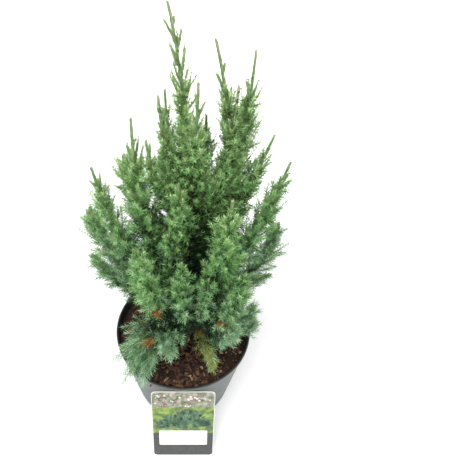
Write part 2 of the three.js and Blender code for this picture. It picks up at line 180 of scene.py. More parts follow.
# %% [markdown]
# The growth rule
#
# The solids were grown by a rule with named sizes, and here it is again, so that the needles land on
# the same twigs. Every plume follows one line: it leaves the trunk's axis at some height, runs out to
# a knee and turns up to its tip. The numbers are the azimuth in degrees (-90 is the front), the height
# where it leaves, the reach and height of its tip and its half width, in millimetres. A sixth number
# lifts the knee, so that a low spray arches over the rim, and a seventh says how far out the knee lies,
# as a share of the way to the tip. The back doesn't show, so its eight plumes are made up like the rest:
# two tiers at even turns, each moved a little by chance.

# %% Sizes of the plant
POT_HEIGHT, RIM_RADIUS, FOOT_RADIUS, WALL = 150, 95, 70, 1.8
LIP_HEIGHT, LIP_THICK = 5, 3
SOIL_TOP, SOIL_BUMP, GAP = 138, 2.2, 0.3
TRUNK_END, TRUNK_TIP, TRUNK_LEAN, TRUNK_SWAY, TRUNK_SWAY_HEIGHT = 470, 661, -12, 18, 500
FLARE_RADIUS, FLARE_HEIGHT, TRUNK_RADIUS, TRUNK_END_RADIUS = 13, 12, 7.6, 3
BOUGH_RADIUS, BOUGH_END_RADIUS = 3.4, 1.9
FINE_TWIG_SPACING, GOLDEN_TURN = 3.4, math.radians(137.5)
TWIG_ANGLE_LOW, TWIG_ANGLE_HIGH, TWIG_CURL = math.radians(56), math.radians(20), 0.2
CROWN_ANGLE_LOW = math.radians(36)
STEEP_FROM, SHORTEST_SHARE, LONGEST_SHARE, NEEDLE_ROOM = 0.6, 0.7, 1.25, 5
BARE_TIP_FROM, BARE_TIP_RISE, BARE_TIP_LEAST, BARE_TIP_MOST = 250, 70, 3, 28
BARE = {"bough": 0.3, "spray": 0.27, "back": 0.32, "crown": 0.06, "top": 0.0}
KNEE_REACH, KNEE_RISE, ARCH_KNEE_REACH, TOP_HALF_WIDTH = 0.9, 0.3, 0.62, 16

PLUMES = {
    "right_leader": (19, 205, 72, 598, 31), "right_inner_leader": (12, 290, 30, 622, 20, 0, 3.2),
    "back_right_leader": (67, 252, 66, 490, 24), "left_leader": (186, 236, 50, 541, 28, 0, 1.08),
    "far_left_leader": (180, 212, 96, 470, 24, 0, 0.76),
    "far_right_leader": (0, 196, 112, 477, 25, 0, 0.64),
    "front_right_leader": (-57, 226, 87, 497, 26), "front_left_plume": (-121, 218, 90, 427, 24),
    "front_plume": (-91, 186, 72, 398, 21), "front_right_plume": (-70, 206, 82, 376, 18),
    "right_front_plume": (-50, 182, 103, 386, 22), "left_front_plume": (197, 231, 108, 362, 17, 0, 0.8),
    "left_plume": (168, 202, 111, 381, 28), "right_plume": (11, 182, 118, 354, 23),
}
SPRAYS = {
    "low_right_spray": (-17, 238, 109, 324, 13, 0, 0.5), "low_right_front_spray": (-27, 178, 97, 274, 16),
    "right_rim_spray": (-21, 150, 99, 224, 13), "left_rim_spray": (-127, 190, 101, 162, 21, 80),
    "front_low_spray": (-105, 160, 78, 222, 18, 30), "front_yellow_spray": (-59, 166, 78, 150, 15, 60),
    "front_right_low_spray": (-44, 157, 86, 250, 19), "right_outer_shoot": (4, 259, 93, 509, 22, 0, 0.45),
    "right_inner_plume": (-50, 215, 83, 426, 17), "front_small_plume": (-107, 195, 53, 386, 16),
}
BACK_TIERS = [
    dict(count=4, first=45, last=144, leave=227, reach=96, top=408, half=24),
    dict(count=4, first=28, last=152, leave=162, reach=104, top=268, half=22),
]
CROWN_PLUMES = {
    "crown_left": (175, 440, 23, 563, 13), "crown_right": (-8, 378, 37, 484, 16.5),
    "crown_right_high": (0, 330, 52, 576, 20), "crown_front": (-96, 366, 40, 486, 18),
    "crown_front_left": (-160, 392, 38, 520, 14), "crown_back": (92, 404, 34, 528, 17),
    "crown_back_left": (114, 330, 44, 540, 18), "crown_front_high": (-40, 440, 19, 588, 15),
    "crown_front_low": (-106, 300, 50, 427, 18),
}

# %% [markdown]
# Trunk, stems and twigs are all quadratic curves: three points, start, knee and tip, give a line that
# bends one way, as shoots do. A few functions work on whole arrays of such curves at once.

# %% Curves


def mix(a, b, t):
    """Straight blend from a at t = 0 to b at t = 1."""
    return a + (b - a) * t


def rise(value, start, end):
    """0 at `start`, 1 at `end`, a straight line between them and level past both. It may run down too."""
    return np.clip((value - start) / (end - start), 0, 1)


def rand(a, b):
    """A repeatable random number from 0 to 1 for two seeds: the fraction of a very steep sine."""
    wave = np.sin(a * 12.9898 + b * 78.233) * 43758.5453
    return wave - np.floor(wave)


def unit(vectors):
    """Vectors of length 1 in the same directions."""
    return vectors / np.maximum(np.linalg.norm(vectors, axis=-1, keepdims=True), 1e-9)


def on_curve(ends, t):
    """Point of a quadratic curve with start, knee and tip: (1-t)^2 S + 2t(1-t) K + t^2 T."""
    t = np.asarray(t)[..., None]
    return (1 - t) ** 2 * ends[..., 0, :] + 2 * t * (1 - t) * ends[..., 1, :] + t ** 2 * ends[..., 2, :]


def along_curve(ends, t):
    """Direction of that curve: (1-t)(K - S) + t(T - K), of length 1."""
    t = np.asarray(t)[..., None]
    return unit((1 - t) * (ends[..., 1, :] - ends[..., 0, :]) + t * (ends[..., 2, :] - ends[..., 1, :]))


def curve_length(ends):
    """Length of curves (n, 3, 3), summed over 40 straight steps."""
    steps = on_curve(ends[:, None], np.linspace(0, 1, 41)[None, :])
    return np.linalg.norm(np.diff(steps, axis=1), axis=-1).sum(1)


# %% [markdown]
# The trunk leans a little to the left at its top and sways to the right on the way. It tapers evenly,
# as wood grows, and flares at its foot into the roots.

# %% The trunk's line
TRUNK_LINE = np.array([[0, 0, SOIL_TOP], [TRUNK_SWAY, 0, TRUNK_SWAY_HEIGHT], [TRUNK_LEAN, 0, TRUNK_TIP]],
                      float)


def trunk_share(height):
    """Share of the trunk's line at which it reaches a height: the root of its quadratic in z."""
    a = SOIL_TOP - 2 * TRUNK_SWAY_HEIGHT + TRUNK_TIP
    b = 2 * (TRUNK_SWAY_HEIGHT - SOIL_TOP)
    return (-b + np.sqrt(b * b - 4 * a * (SOIL_TOP - np.asarray(height, float)))) / (2 * a)


def trunk_radius(height):
    """Even taper from foot to tip, plus a flare that dies away as exp(-climb / flare height)."""
    climb = (height - SOIL_TOP) / (TRUNK_END - SOIL_TOP)
    flare = (FLARE_RADIUS - TRUNK_RADIUS) * np.exp(-(height - SOIL_TOP) / FLARE_HEIGHT)
    return mix(TRUNK_RADIUS, TRUNK_END_RADIUS, np.clip(climb, 0, 1)) + flare


# %% The lines of the plumes


def plume_line(azimuth, leave, reach, top, arch=0, bow=KNEE_REACH):
    """Start on the trunk's axis, knee and tip of one plume.

    The knee is level with the highest end and `arch` above it, or 0.3 of the rise up where arch is 0."""
    angle = math.radians(azimuth)
    start = on_curve(TRUNK_LINE, trunk_share(leave))
    tip = np.array([reach * math.cos(angle), reach * math.sin(angle), top])
    knee = mix(start, tip, ARCH_KNEE_REACH if arch else bow)
    knee[2] = max(leave, top) + arch if arch else mix(leave, top, KNEE_RISE)
    return np.stack([start, knee, tip])


plumes = []


def add_plume(name, kind, numbers):
    """Keeps one plume's name, kind, line and half width."""
    azimuth, leave, reach, top, half, *knee = numbers
    line = plume_line(azimuth, leave, reach, top, *knee)
    plumes.append(dict(name=name, kind=kind, half=half, line=line))


for name, numbers in PLUMES.items():
    add_plume(name, "bough", numbers)
for name, numbers in SPRAYS.items():
    add_plume(name, "spray", numbers)
for level, tier in enumerate(BACK_TIERS, 1):
    for i in range(tier["count"]):
        jitter = rand(level, i + 1) - 0.5
        add_plume(f"back_plume_{level}_{i + 1}", "back", (
            mix(tier["first"], tier["last"], (i + 0.5) / tier["count"]) + 8 * jitter,
            tier["leave"] + 11 * i - 9 * jitter, tier["reach"] * (1 + 0.1 * jitter),
            tier["top"] + 44 * jitter, tier["half"]))
for name, numbers in CROWN_PLUMES.items():
    add_plume(name, "crown", numbers)

# The top plume is the rest of the trunk's own line. Its knee is 2 M - (S + T) / 2, with M the point
# halfway along.
low, high = on_curve(TRUNK_LINE, trunk_share(TRUNK_END)), TRUNK_LINE[2]
bend = (trunk_share(TRUNK_END) + 1) / 2
top_knee = 2 * on_curve(TRUNK_LINE, bend) - (low + high) / 2
plumes.append(dict(name="top", kind="top", half=TOP_HALF_WIDTH, line=np.stack([low, top_knee, high])))

lines = np.stack([p["line"] for p in plumes])
halves = np.array([p["half"] for p in plumes], float)
names = np.array([p["name"] for p in plumes])
kinds = np.array([p["kind"] for p in plumes])
lengths = curve_length(lines)
tips = lines[:, 2]
masses = [f"mass_{name}" for name in names]
print(len(plumes), "plumes,", round(float(lengths.sum()) / 1000, 2), "m of stem")

# %% [markdown]
# A stem carries no green twigs near the trunk, where it is too dark, and none yet on the last piece of a
# strong shoot. That bare tip grows with the square of the tip's height, and a few shoots have been
# quicker or slower than the rest.

# %% Bare ends of the stems
FULL_HALF_WIDTH, CROWN_TIP_SHARE = 20, 0.6
TIP_SHARE = {"top": 0.9, "right_leader": 0.8, "right_inner_leader": 0.62}


def by_name(values, default):
    """One number for each plume: its own where `values` has one, else the default."""
    return np.array([values.get(name, default) for name in names])


bare = np.array([BARE[kind] for kind in kinds])
strength = np.minimum(halves / FULL_HALF_WIDTH, 1)
bare_tip = np.maximum((tips[:, 2] - BARE_TIP_FROM) / BARE_TIP_RISE * strength, 0) ** 2
bare_tip *= np.where(kinds == "crown", CROWN_TIP_SHARE, 1)
bare_tip *= by_name(TIP_SHARE, 1)
bare_tip = np.clip(bare_tip, BARE_TIP_LEAST, BARE_TIP_MOST)
print("bare tips of", bare_tip.min().round(1), "to", bare_tip.max().round(1), "mm")

# %% [markdown]
# Each plume keeps to its own space. A point's free radius says how thick a twig there may be before it
# comes nearer to another plume's line, for its width, than to its own. The trunk, the substrate and
# the pot's rim take space too. Twigs that find no room are shortened, and then left out.

# %% The space of each plume
LINE_STEPS, POINTS_AT_ONCE = 24, 4000
samples = on_curve(lines[:, None], np.linspace(0, 1, LINE_STEPS + 1)[None, :])
seg_start, seg_step = samples[:, :-1], np.diff(samples, axis=1)
seg_square = (seg_step ** 2).sum(-1)


def distances(points):
    """Distance from each point to each plume's line: the nearest point of its straight steps."""
    away = points[:, None, None, :] - seg_start
    share = np.clip((away * seg_step).sum(-1) / seg_square, 0, 1)
    return np.linalg.norm(away - share[..., None] * seg_step, axis=-1).min(-1)


OVERLAP, TRUNK_ROOM, TRUNK_CLEAR_ABOVE = 7, 0.85, 4
RIM_INSIDE, RIM_OUTSIDE, RIM_CLEAR = RIM_RADIUS - 12, RIM_RADIUS + 8, 1


def free_radius(points, owner):
    """Radius that the owner's twigs may fill round each point.

    Between two lines at distances a and b, with half widths v and w, the room is (v b - w a) / (v + w).
    It is OVERLAP larger, because the ends of real twigs reach among each other. Beside the trunk it is
    a share of the gap, and over the bed and the pot's rim it is the height above them."""
    out = np.empty(len(points))
    for begin in range(0, len(points), POINTS_AT_ONCE):
        some = slice(begin, begin + POINTS_AT_ONCE)
        p, mine = points[some], owner[some]
        away = distances(p)
        row = np.arange(len(p))
        own = away[row, mine]
        share = halves[mine, None] / (halves[mine, None] + halves)
        room = share * away - (1 - share) * own[:, None]
        room[row, mine] = np.inf
        free = room.min(1) + OVERLAP
        axis = on_curve(TRUNK_LINE, trunk_share(np.clip(p[:, 2], SOIL_TOP, TRUNK_TIP)))
        beside = np.hypot(p[:, 0] - axis[:, 0], p[:, 1] - axis[:, 1]) - trunk_radius(p[:, 2])
        by_trunk = p[:, 2] < TRUNK_END + TRUNK_CLEAR_ABOVE
        free = np.where(by_trunk, np.minimum(free, beside * TRUNK_ROOM), free)
        reach = np.hypot(p[:, 0], p[:, 1])
        floor = np.where(reach < RIM_INSIDE, SOIL_TOP + SOIL_BUMP, POT_HEIGHT + RIM_CLEAR)
        free = np.where(reach < RIM_OUTSIDE, np.minimum(free, p[:, 2] - floor), free)
        out[some] = free - GAP
    return out


print("lines of", LINE_STEPS, "steps each; the pot's rim keeps twigs off from", RIM_INSIDE, "mm outwards")

# %% [markdown]
# A twig leaves its parent at an angle and curls towards the parent's direction. Along a stem the twigs
# stand round by the golden angle, as buds do, so no two lie over each other. Whole arrays of twigs are
# tried at once: the ones that have no room all along are tried again shorter.

# %% How a twig leaves its parent
PROFILE_FOOT, PROFILE_FULL_AT, PROFILE_TIP = 0.6, 0.3, 0.12
MID_ROOM, TIP_ROOM, ROOM_SHARES = 3.5, 1.5, (1, 0.8, 0.6, 0.42)


def plume_profile(t):
    """Half width along a plume, as a share: full a third of the way up, slim at the tip."""
    slimming = np.maximum(0, (t - PROFILE_FULL_AT) / (1 - PROFILE_FULL_AT))
    return mix(PROFILE_FOOT, 1, np.minimum(t / PROFILE_FULL_AT, 1)) * mix(1, PROFILE_TIP, slimming)


def upright_frame(along):
    """For directions: a level sideways vector and the third axis, square to both."""
    side = unit(np.stack([along[:, 1], -along[:, 0], np.zeros(len(along))], -1) + [0, 1e-7, 0])
    return side, np.cross(side, along)


def turned_from(along, angle, around):
    """Headings at `angle` from `along`: cos(angle) T + sin(angle) (cos(around) U + sin(around) S)."""
    side, up = upright_frame(along)
    outward = up * np.cos(around)[:, None] + side * np.sin(around)[:, None]
    return along * np.cos(angle)[:, None] + outward * np.sin(angle)[:, None]


def curves_from(base, heading, along, length):
    """Twigs as curves: start, knee and tip, bent towards the parent's direction by the curl."""
    knee = base + heading * length[:, None] / 2
    tip = base + (heading + TWIG_CURL * along) * length[:, None]
    return np.stack([base, knee, tip], 1)


def fit_twigs(base, heading, along, wish, owner, shares, room_mid, room_tip, shortest):
    """Keeps each twig at the first of `shares` of its wished length that has room all along it.

    It needs a free radius of `room_mid` at three places along it and of `room_tip` at its tip. Where no
    share has that, or what fits is shorter than `shortest`, the twig is left out."""
    length = np.zeros(len(base))
    todo = np.ones(len(base), bool)
    for share in shares:
        index = np.flatnonzero(todo & (wish * share >= shortest))
        if not len(index):
            continue
        curves = curves_from(base[index], heading[index], along[index], wish[index] * share)
        clear = np.ones(len(index), bool)
        for u in (0.35, 0.5, 0.75, 1.0):
            room = free_radius(on_curve(curves, u), owner[index])
            clear &= room > (room_mid if u < 1 else room_tip)
        length[index[clear]] = wish[index[clear]] * share
        todo[index[clear]] = False
    keep = length > 0
    return curves_from(base[keep], heading[keep], along[keep], length[keep]), keep, length[keep]


# %% [markdown]
# The last piece of a leader is this year's growth. Its twigs are fine and close to the stem, and its
# needles are still scales. How young a point is comes from its distance to the tip of its plume, and the
# young piece is longer the higher the tip stands.

# %% Youth
YOUNG_FROM, YOUNG_LONGEST, YOUNG_SHORTEST = 300, 80, 5
YOUNG_FADE_END, YOUNG_FADE = 1.6, 0.9
YOUNG_RUN = {"left_leader": 1.5, "far_left_leader": 1.7, "far_right_leader": 1.6,
             "right_outer_shoot": 1.3}
tip_height = tips[:, 2]
young_end = YOUNG_LONGEST * ((tip_height - YOUNG_FROM) / (TRUNK_TIP - YOUNG_FROM)).clip(0) ** 2
young_end = np.maximum(young_end, YOUNG_SHORTEST) * by_name(YOUNG_RUN, 1)


def youth(points, owner):
    """1 at a plume's tip, where scales wrap thin shoots, falling to 0 further down.

    It is 1 up to 0.7 of the young end's length away from the tip, and 0 from 1.6 of it."""
    away = np.linalg.norm(points - tips[owner], axis=-1) / young_end[owner]
    return np.clip((YOUNG_FADE_END - away) / YOUNG_FADE, 0, 1)


print("young ends of", young_end.min().round(1), "to", young_end.max().round(1), "mm")

# %% [markdown]
# Side twigs lean more towards the tip the higher they are, and none reaches past the bare last piece of
# the stem. The solids hold every sixth twig, and here they all grow. One in three is a little longer
# than the rest, which makes the plume's outline ragged. On young growth every second bud sleeps, and
# the twigs are short and curl up along the stem. Three low sprays are wider or slimmer than their
# solids, whose twigs had to stay clear of their neighbours.

# %% Grow the side twigs
FINEST_TWIG, TWIGGY_PART, LONGEST_TWIG, LONGEST_YOUNG = 4.5, 0.9, 60, 26
YOUNG_ANGLE, YOUNG_WIDTH, YOUNG_CURL, SHORTER = math.radians(27), 9, 2.4, 0.86
SCENE_WIDTH = {"left_rim_spray": 1.9, "front_low_spray": 1.2, "front_yellow_spray": 0.85}

owner, number, share_up = [], [], []
for k in range(len(plumes)):
    green = lengths[k] * (1 - bare[k])
    count = round(green * TWIGGY_PART / FINE_TWIG_SPACING)
    owner.append(np.full(count, k))
    number.append(np.arange(count))
    share_up.append((np.arange(count) + 0.5) / count * TWIGGY_PART)
owner, number, share_up = (np.concatenate(x) for x in (owner, number, share_up))

place = bare[owner] + share_up * (1 - bare[owner])
base = on_curve(lines[owner], place)
along = along_curve(lines[owner], place)
age = youth(base, owner)
steep = np.isin(kinds, ("crown", "top"))
angle = mix(np.where(steep[owner], CROWN_ANGLE_LOW, TWIG_ANGLE_LOW), TWIG_ANGLE_HIGH,
            np.minimum(share_up / STEEP_FROM, 1))
angle = mix(angle, np.maximum(angle, YOUNG_ANGLE), age)
heading = turned_from(along, angle, number * GOLDEN_TURN + owner + 1)

# The wished length reaches the plume's width, more or less, and stops short of its tip.
width = halves[owner] * by_name(SCENE_WIDTH, 1)[owner] * plume_profile(share_up)
wish = (np.maximum(width, YOUNG_WIDTH * age) - NEEDLE_ROOM * (1 - share_up)) / np.sin(angle)
wish = wish * mix(SHORTEST_SHARE, LONGEST_SHARE, rand(owner + 1, number))
wish = wish * np.where((number % 3 == 0) | (age > 0.5), 1, SHORTER)
ahead = lengths[owner] * (1 - bare[owner]) * (1 - share_up) - bare_tip[owner]
curl = mix(1, YOUNG_CURL, age)
wish = np.minimum(wish, mix(ahead, 0.85 * ahead + 2, age) / (np.cos(angle) + age * TWIG_CURL * curl))
wish = np.minimum(wish, mix(LONGEST_TWIG, LONGEST_YOUNG, age))
wish = np.where((age < 0.6) | (number % 2 == 0), wish, 0)
twigs, kept, twig_length = fit_twigs(base, heading, along * curl[:, None], wish, owner, ROOM_SHARES,
                                     MID_ROOM, TIP_ROOM, FINEST_TWIG)
twig_owner, twig_up = owner[kept], share_up[kept]
print(len(twigs), "side twigs of", len(owner), "have room; mean", twig_length.mean().round(1), "mm")

# %% [markdown]
# The inside of the crown isn't empty either. The trunk and the bare first part of each bough carry old
# short twigs, whose needles get little light. Their needles are also given painted shade in the tones
# below, so they make the gaps between the plumes look dark instead of open.

# %% Grow the twigs of the inside
INNER_FOOT, INNER_REACH, INNER_ANGLE, INNER_DOWNWARD = 205, 80, 0.75, -0.5
INNER_SPACING, TRUNK_SPACING, INNER_SHORT, INNER_LONG, INNER_UP = 2.2, 1.9, 18, 34, 0.3

# Each part of the old wood is a line, the shares along it that carry twigs and its plume's number.
old_wood = [(lines[k], np.arange(0.2 * bare[k], 1.35 * bare[k], INNER_SPACING / lengths[k]), k)
            for k in np.flatnonzero(~steep)]
on_trunk = trunk_share(np.arange(INNER_FOOT, TRUNK_END, TRUNK_SPACING))
old_wood.append((TRUNK_LINE, on_trunk, len(plumes) - 1))
inner_line = np.concatenate([np.repeat(line[None], len(share), 0) for line, share, k in old_wood])
inner_share = np.concatenate([share for line, share, k in old_wood])
inner_owner = np.concatenate([np.full(len(share), k) for line, share, k in old_wood])
base, along = on_curve(inner_line, inner_share), along_curve(inner_line, inner_share)
number = np.arange(len(base))
heading = turned_from(along, np.full(len(base), INNER_ANGLE), number * GOLDEN_TURN)
length = mix(INNER_SHORT, INNER_LONG, rand(number, 9)) * mix(1, 1.2, rise(base[:, 2], 330, 420))
inside = (base[:, 2] > INNER_FOOT) & (np.hypot(base[:, 0], base[:, 1]) < INNER_REACH)
inside &= heading[:, 2] > INNER_DOWNWARD
twigs = np.concatenate([twigs, curves_from(base, heading, along, length)[inside]])
twig_length = np.concatenate([twig_length, length[inside]])
twig_owner = np.concatenate([twig_owner, inner_owner[inside]])
twig_up = np.concatenate([twig_up, np.full(inside.sum(), INNER_UP)])
twig_inner = np.arange(len(twigs)) >= len(twigs) - inside.sum()
print(twig_inner.sum(), "twigs inside the crown")

# %% [markdown]
# Every twig carries small twigs by the same rule, from its foot to two thirds of its length, shorter
# towards the end. They fill the plume, so that its surface reads as needles and not as single twigs.
# The sprays at the rim grew in full light and are bushier: their small twigs stand at 0.6 of the usual
# spacing. Young shoots have none yet.

# %% Grow the small twigs on them
SMALL_SPACING, BUSHY_BELOW, BUSHY_SHARE = 11.0, 260, 0.6
SMALL_FROM, SMALL_RUN, SMALL_LEAST, SMALL_LONGER = 0.08, 0.56, 6, 0.34
SMALL_SHARES, SMALL_ROOM, SMALLEST_TWIG = (1, 0.7), 0.6, FINEST_TWIG * 0.8
SMALL_ANGLE_LOW, SMALL_ANGLE_HIGH = math.radians(44), math.radians(24)


def place_in_group(count):
    """For groups of `count` members, one after another: each member's group and its place in it."""
    group = np.repeat(np.arange(len(count)), count)
    return group, np.arange(len(group)) - np.repeat(np.cumsum(count) - count, count)


bushy = ((kinds == "spray") & (tip_height < BUSHY_BELOW))[twig_owner]
count = np.round(twig_length * 0.8 / np.where(bushy, BUSHY_SHARE, 1) / SMALL_SPACING).astype(int)
parent, order = place_in_group(count)
place = SMALL_FROM + SMALL_RUN * (order + 0.5) / count[parent]
base = on_curve(twigs[parent], place)
along = along_curve(twigs[parent], place)
young = youth(base, twig_owner[parent])
angle = mix(SMALL_ANGLE_LOW, SMALL_ANGLE_HIGH, np.maximum(place, young))
heading = turned_from(along, angle, order * GOLDEN_TURN + parent)
wish = SMALL_LEAST + SMALL_LONGER * twig_length[parent] * (1 - place)
wish = np.where(young < 0.5, wish * mix(0.75, 1.25, rand(parent, order + 1)), 0)
small, kept, small_length = fit_twigs(base, heading, along, wish, twig_owner[parent], SMALL_SHARES,
                                      SMALL_ROOM, 0.0, SMALLEST_TWIG)
small_parent, small_place = parent[kept], place[kept]
print(len(small), "small twigs of", len(parent), "have room; mean", small_length.mean().round(1), "mm")

# %% [markdown]
# Juniper needles stand in whorls of three, each whorl turned by a sixth of a turn from the last. A
# needle is a stiff blade folded along its middle, broadest a third of the way up and drawn out to a
# sharp point. Two faces that meet at the fold give that shape, and they catch the light differently,
# as on the plant. Near a shoot's tip the needles are shorter and lie closer to the stem.

# %% The shape and place of a needle
LONG_NEEDLE, SHORT_NEEDLE, SCALE_LENGTH, NEEDLE_WIDTH, NEEDLE_FOLD = 9.0, 7.4, 4.8, 1.1, 0.35
LONG_BELOW, SHORT_ABOVE, TIP_RUN = 220, 470, 9
SPREAD, PRESSED = math.radians(50), math.radians(21)


def whorls(curves, lengths, start, seed, pitch):
    """Whorl places on curves: the curve's number, the share along it and the turn of the whorl."""
    count = np.maximum(np.round(lengths * (1 - start) / pitch), 1).astype(int)
    curve, order = place_in_group(count)
    share = np.broadcast_to(start, (len(curves),))[curve]
    share = share + (1 - share) * (order + 0.6) / count[curve]
    return curve, share, order * math.pi / 3 + seed[curve]


def needles(curves, curve, share, turn, young, to_tip, draw):
    """Three needles for each whorl: feet, headings, directions across and lengths.

    A heading is cos(lean) T + sin(lean) (cos a E1 + sin a E2), with T the twig's direction, E1 and E2
    square to it and a the whorl's turn plus 0, 120 or 240 degrees. In the last 9 mm before a tip the
    needles are shorter and lie closer. On young shoots they are like scales that wrap the twig."""
    foot = on_curve(curves[curve], share)
    along = along_curve(curves[curve], share)
    e1 = unit(np.cross(along, [0.31, 0.17, 0.93]))
    e2 = np.cross(along, e1)
    near_tip = np.clip(1 - to_tip / TIP_RUN, 0, 1)
    lean = mix(SPREAD, PRESSED, np.maximum(young, 0.7 * near_tip))
    length = mix(LONG_NEEDLE, SHORT_NEEDLE, rise(foot[:, 2], LONG_BELOW, SHORT_ABOVE))
    length = mix(length, SCALE_LENGTH, young) * mix(1, 0.75, near_tip)
    skin = mix(0.3, 0.85, young)
    foot, along, e1, e2, turn, length, lean, skin = (
        np.repeat(x, 3, axis=0) for x in (foot, along, e1, e2, turn, length, lean, skin))
    total = len(foot)
    turn = turn + np.tile([0, 2 * math.pi / 3, 4 * math.pi / 3], total // 3) + draw.normal(0, 0.08, total)
    lean = lean * draw.uniform(0.9, 1.1, total)
    outward = e1 * np.cos(turn)[:, None] + e2 * np.sin(turn)[:, None]
    foot = foot + outward * skin[:, None]
    heading = along * np.cos(lean)[:, None] + outward * np.sin(lean)[:, None]
    across = unit(np.cross(along, outward))
    return foot, heading, across, length * draw.uniform(0.82, 1.12, total)


# %% [markdown]
# Whorls stand every 1.75 mm, and closer on young growth and on the stems. Equal shares of a long curve
# aren't equal lengths, so needles would be thin where the shares are long. On the stems the places are
# therefore set evenly by length first, and then turned into shares of the curve.

# %% Whorls and needles on stems, side twigs and small twigs
WHORL_PITCH, YOUNG_PITCH, STEM_PITCH = 1.75, 1.2, 1.3
draw = np.random.default_rng(7)
steps = np.linspace(0, 1, 41)
run = np.linalg.norm(np.diff(on_curve(lines[:, None], steps[None, :]), axis=1), axis=-1)
run = np.concatenate([np.zeros((len(lines), 1)), np.cumsum(run, axis=1)], 1) / lengths[:, None]
run_start = np.array([np.interp(bare[k], steps, run[k]) for k in range(len(lines))])
stem_curve, stem_share, stem_turn = whorls(lines, lengths, run_start, np.arange(len(lines)), STEM_PITCH)
stem_share = np.concatenate([np.interp(stem_share[stem_curve == k], run[k], steps)
                             for k in range(len(lines))])
twig_pitch = mix(WHORL_PITCH, YOUNG_PITCH, youth(twigs[:, 0], twig_owner))
twig_curve, twig_share, twig_turn = whorls(twigs, twig_length, 0.06, twig_owner * 1.7, twig_pitch)
small_pitch = mix(WHORL_PITCH, YOUNG_PITCH, youth(small[:, 0], twig_owner[small_parent]))
small_curve, small_share, small_turn = whorls(small, small_length, 0.05, small_parent * 2.3, small_pitch)
sets = [
    (lines, stem_curve, stem_share, stem_turn, np.arange(len(lines)), lengths),
    (twigs, twig_curve, twig_share, twig_turn, twig_owner, twig_length),
    (small, small_curve, small_share, small_turn, twig_owner[small_parent], small_length),
]
made, young = [], []
for curves, curve, share, turn, of, long in sets:
    age = youth(on_curve(curves[curve], share), of[curve])
    made.append(needles(curves, curve, share, turn, age, (1 - share) * long[curve], draw))
    young.append(np.repeat(age, 3))
foot, heading, across, length = (np.concatenate([m[i] for m in made]) for i in range(4))
young = np.concatenate(young)
print(len(foot), "needles")

# %% [markdown]
# The shade of a needle will depend on where it sits. So each needle needs its plume, its side twig, how
# far out on the twig it is, how far from the twig's end, and whether the twig is one of the inside.

# %% Where each needle sits


def for_needles(on_stems, on_twigs, on_small):
    """Numbers for the whorls of stems, side twigs and small twigs, spread to their three needles."""
    return np.repeat(np.concatenate([on_stems, on_twigs, on_small]), 3)


carrier = small_parent[small_curve]
stem_youth = youth(on_curve(lines[stem_curve], stem_share), stem_curve)
needle_owner = for_needles(stem_curve, twig_owner[twig_curve], twig_owner[carrier])
# on a stem the young end counts as far out: painted light, as well as the paler tone of young growth
needle_out = for_needles(0.5 * stem_youth, twig_share,
                         mix(small_place[small_curve], 1, small_share * 0.5))
spray = for_needles(stem_curve, 100 + twig_curve, 100 + carrier)
inner = for_needles(np.zeros(len(stem_curve), bool), twig_inner[twig_curve], twig_inner[carrier])
to_tip = for_needles(*((1 - share) * long[curve] for curves, curve, share, turn, of, long in sets))
height, reach = foot[:, 2], np.hypot(foot[:, 0], foot[:, 1])
print(int(inner.sum()), "of them are on inner twigs; the highest stands at", height.max().round(), "mm")

# %% [markdown]
# Colours of the needles
#
# A juniper's needles aren't one green. Low in the plant they are a dull grey-green, higher up a fresher
# yellow-green, and the leaders' tips are pale. Each of these has a light tone and darker ones, which are
# lit and shaded copies of one green. The light tone is partly the paler young needles at the ends of the
# twigs and partly painted light. The darker tones are partly the darker green of older needles further in
# and partly painted shade, deepest near the trunk, which gets little light. A few sprays have died and
# turned rusty. Each shade is a plain material: a needle has a thin skin of wax, so it is matt with a weak
# gloss. An image or a pattern could colour the needles too, but plain shades stay exact when the plant is
# reused in other programs.

# %% Shades
# the deep, dark, mid and light tones of each hue are painted shade and painted light on one green
SHADES = {
    "needle_grey_deep": "#192C1C", "needle_grey_dark": "#426541", "needle_grey_mid": "#7CA37C",
    "needle_grey_light": "#A6C4A4",
    "needle_green_deep": "#182C14", "needle_green_dark": "#406534", "needle_green_mid": "#70A05F",
    "needle_green_light": "#96BA7C",
    "needle_fresh_deep": "#21381B", "needle_fresh_dark": "#4B6E3A", "needle_fresh_mid": "#82A868",
    "needle_fresh_light": "#A6C48B",
    "needle_tip_pale": "#A9AE8C", "needle_tip_olive": "#7F8F5C", "needle_yellow": "#929A50",
    "needle_dead": "#A0682F",
}
NEEDLE_ROUGHNESS, NEEDLE_GLOSS = 0.6, 0.22
shade_names = list(SHADES)
GREY, GREEN, FRESH, PALE, OLIVE, YELLOW, DEAD = (shade_names.index(f"needle_{name}") for name in (
    "grey_deep", "green_deep", "fresh_deep", "tip_pale", "tip_olive", "yellow", "dead"))
print(len(shade_names), "shades")

# %% [markdown]
# The hue goes by height. Plumes, twigs and single needles each differ a little by chance, so the change
# from grey-green to fresh green has no edge.

# %% Hue by height
HUE_FOOT, HUE_RUN, GREY_BELOW, GREEN_BELOW = 150, 450, 0.37, 0.68

rng = np.random.default_rng(11)
spray_noise = rand(spray * 1.0, 3)
ripeness = (height - HUE_FOOT) / HUE_RUN + 0.1 * (rand(needle_owner * 1.0, 8) - 0.5)
ripeness = ripeness + 0.12 * (spray_noise - 0.5) + rng.normal(0, 0.1, len(foot))
hue = np.where(ripeness < GREY_BELOW, GREY, np.where(ripeness < GREEN_BELOW, GREEN, FRESH))
print("grey, green and fresh needles:", [int((hue == first).sum()) for first in (GREY, GREEN, FRESH)])
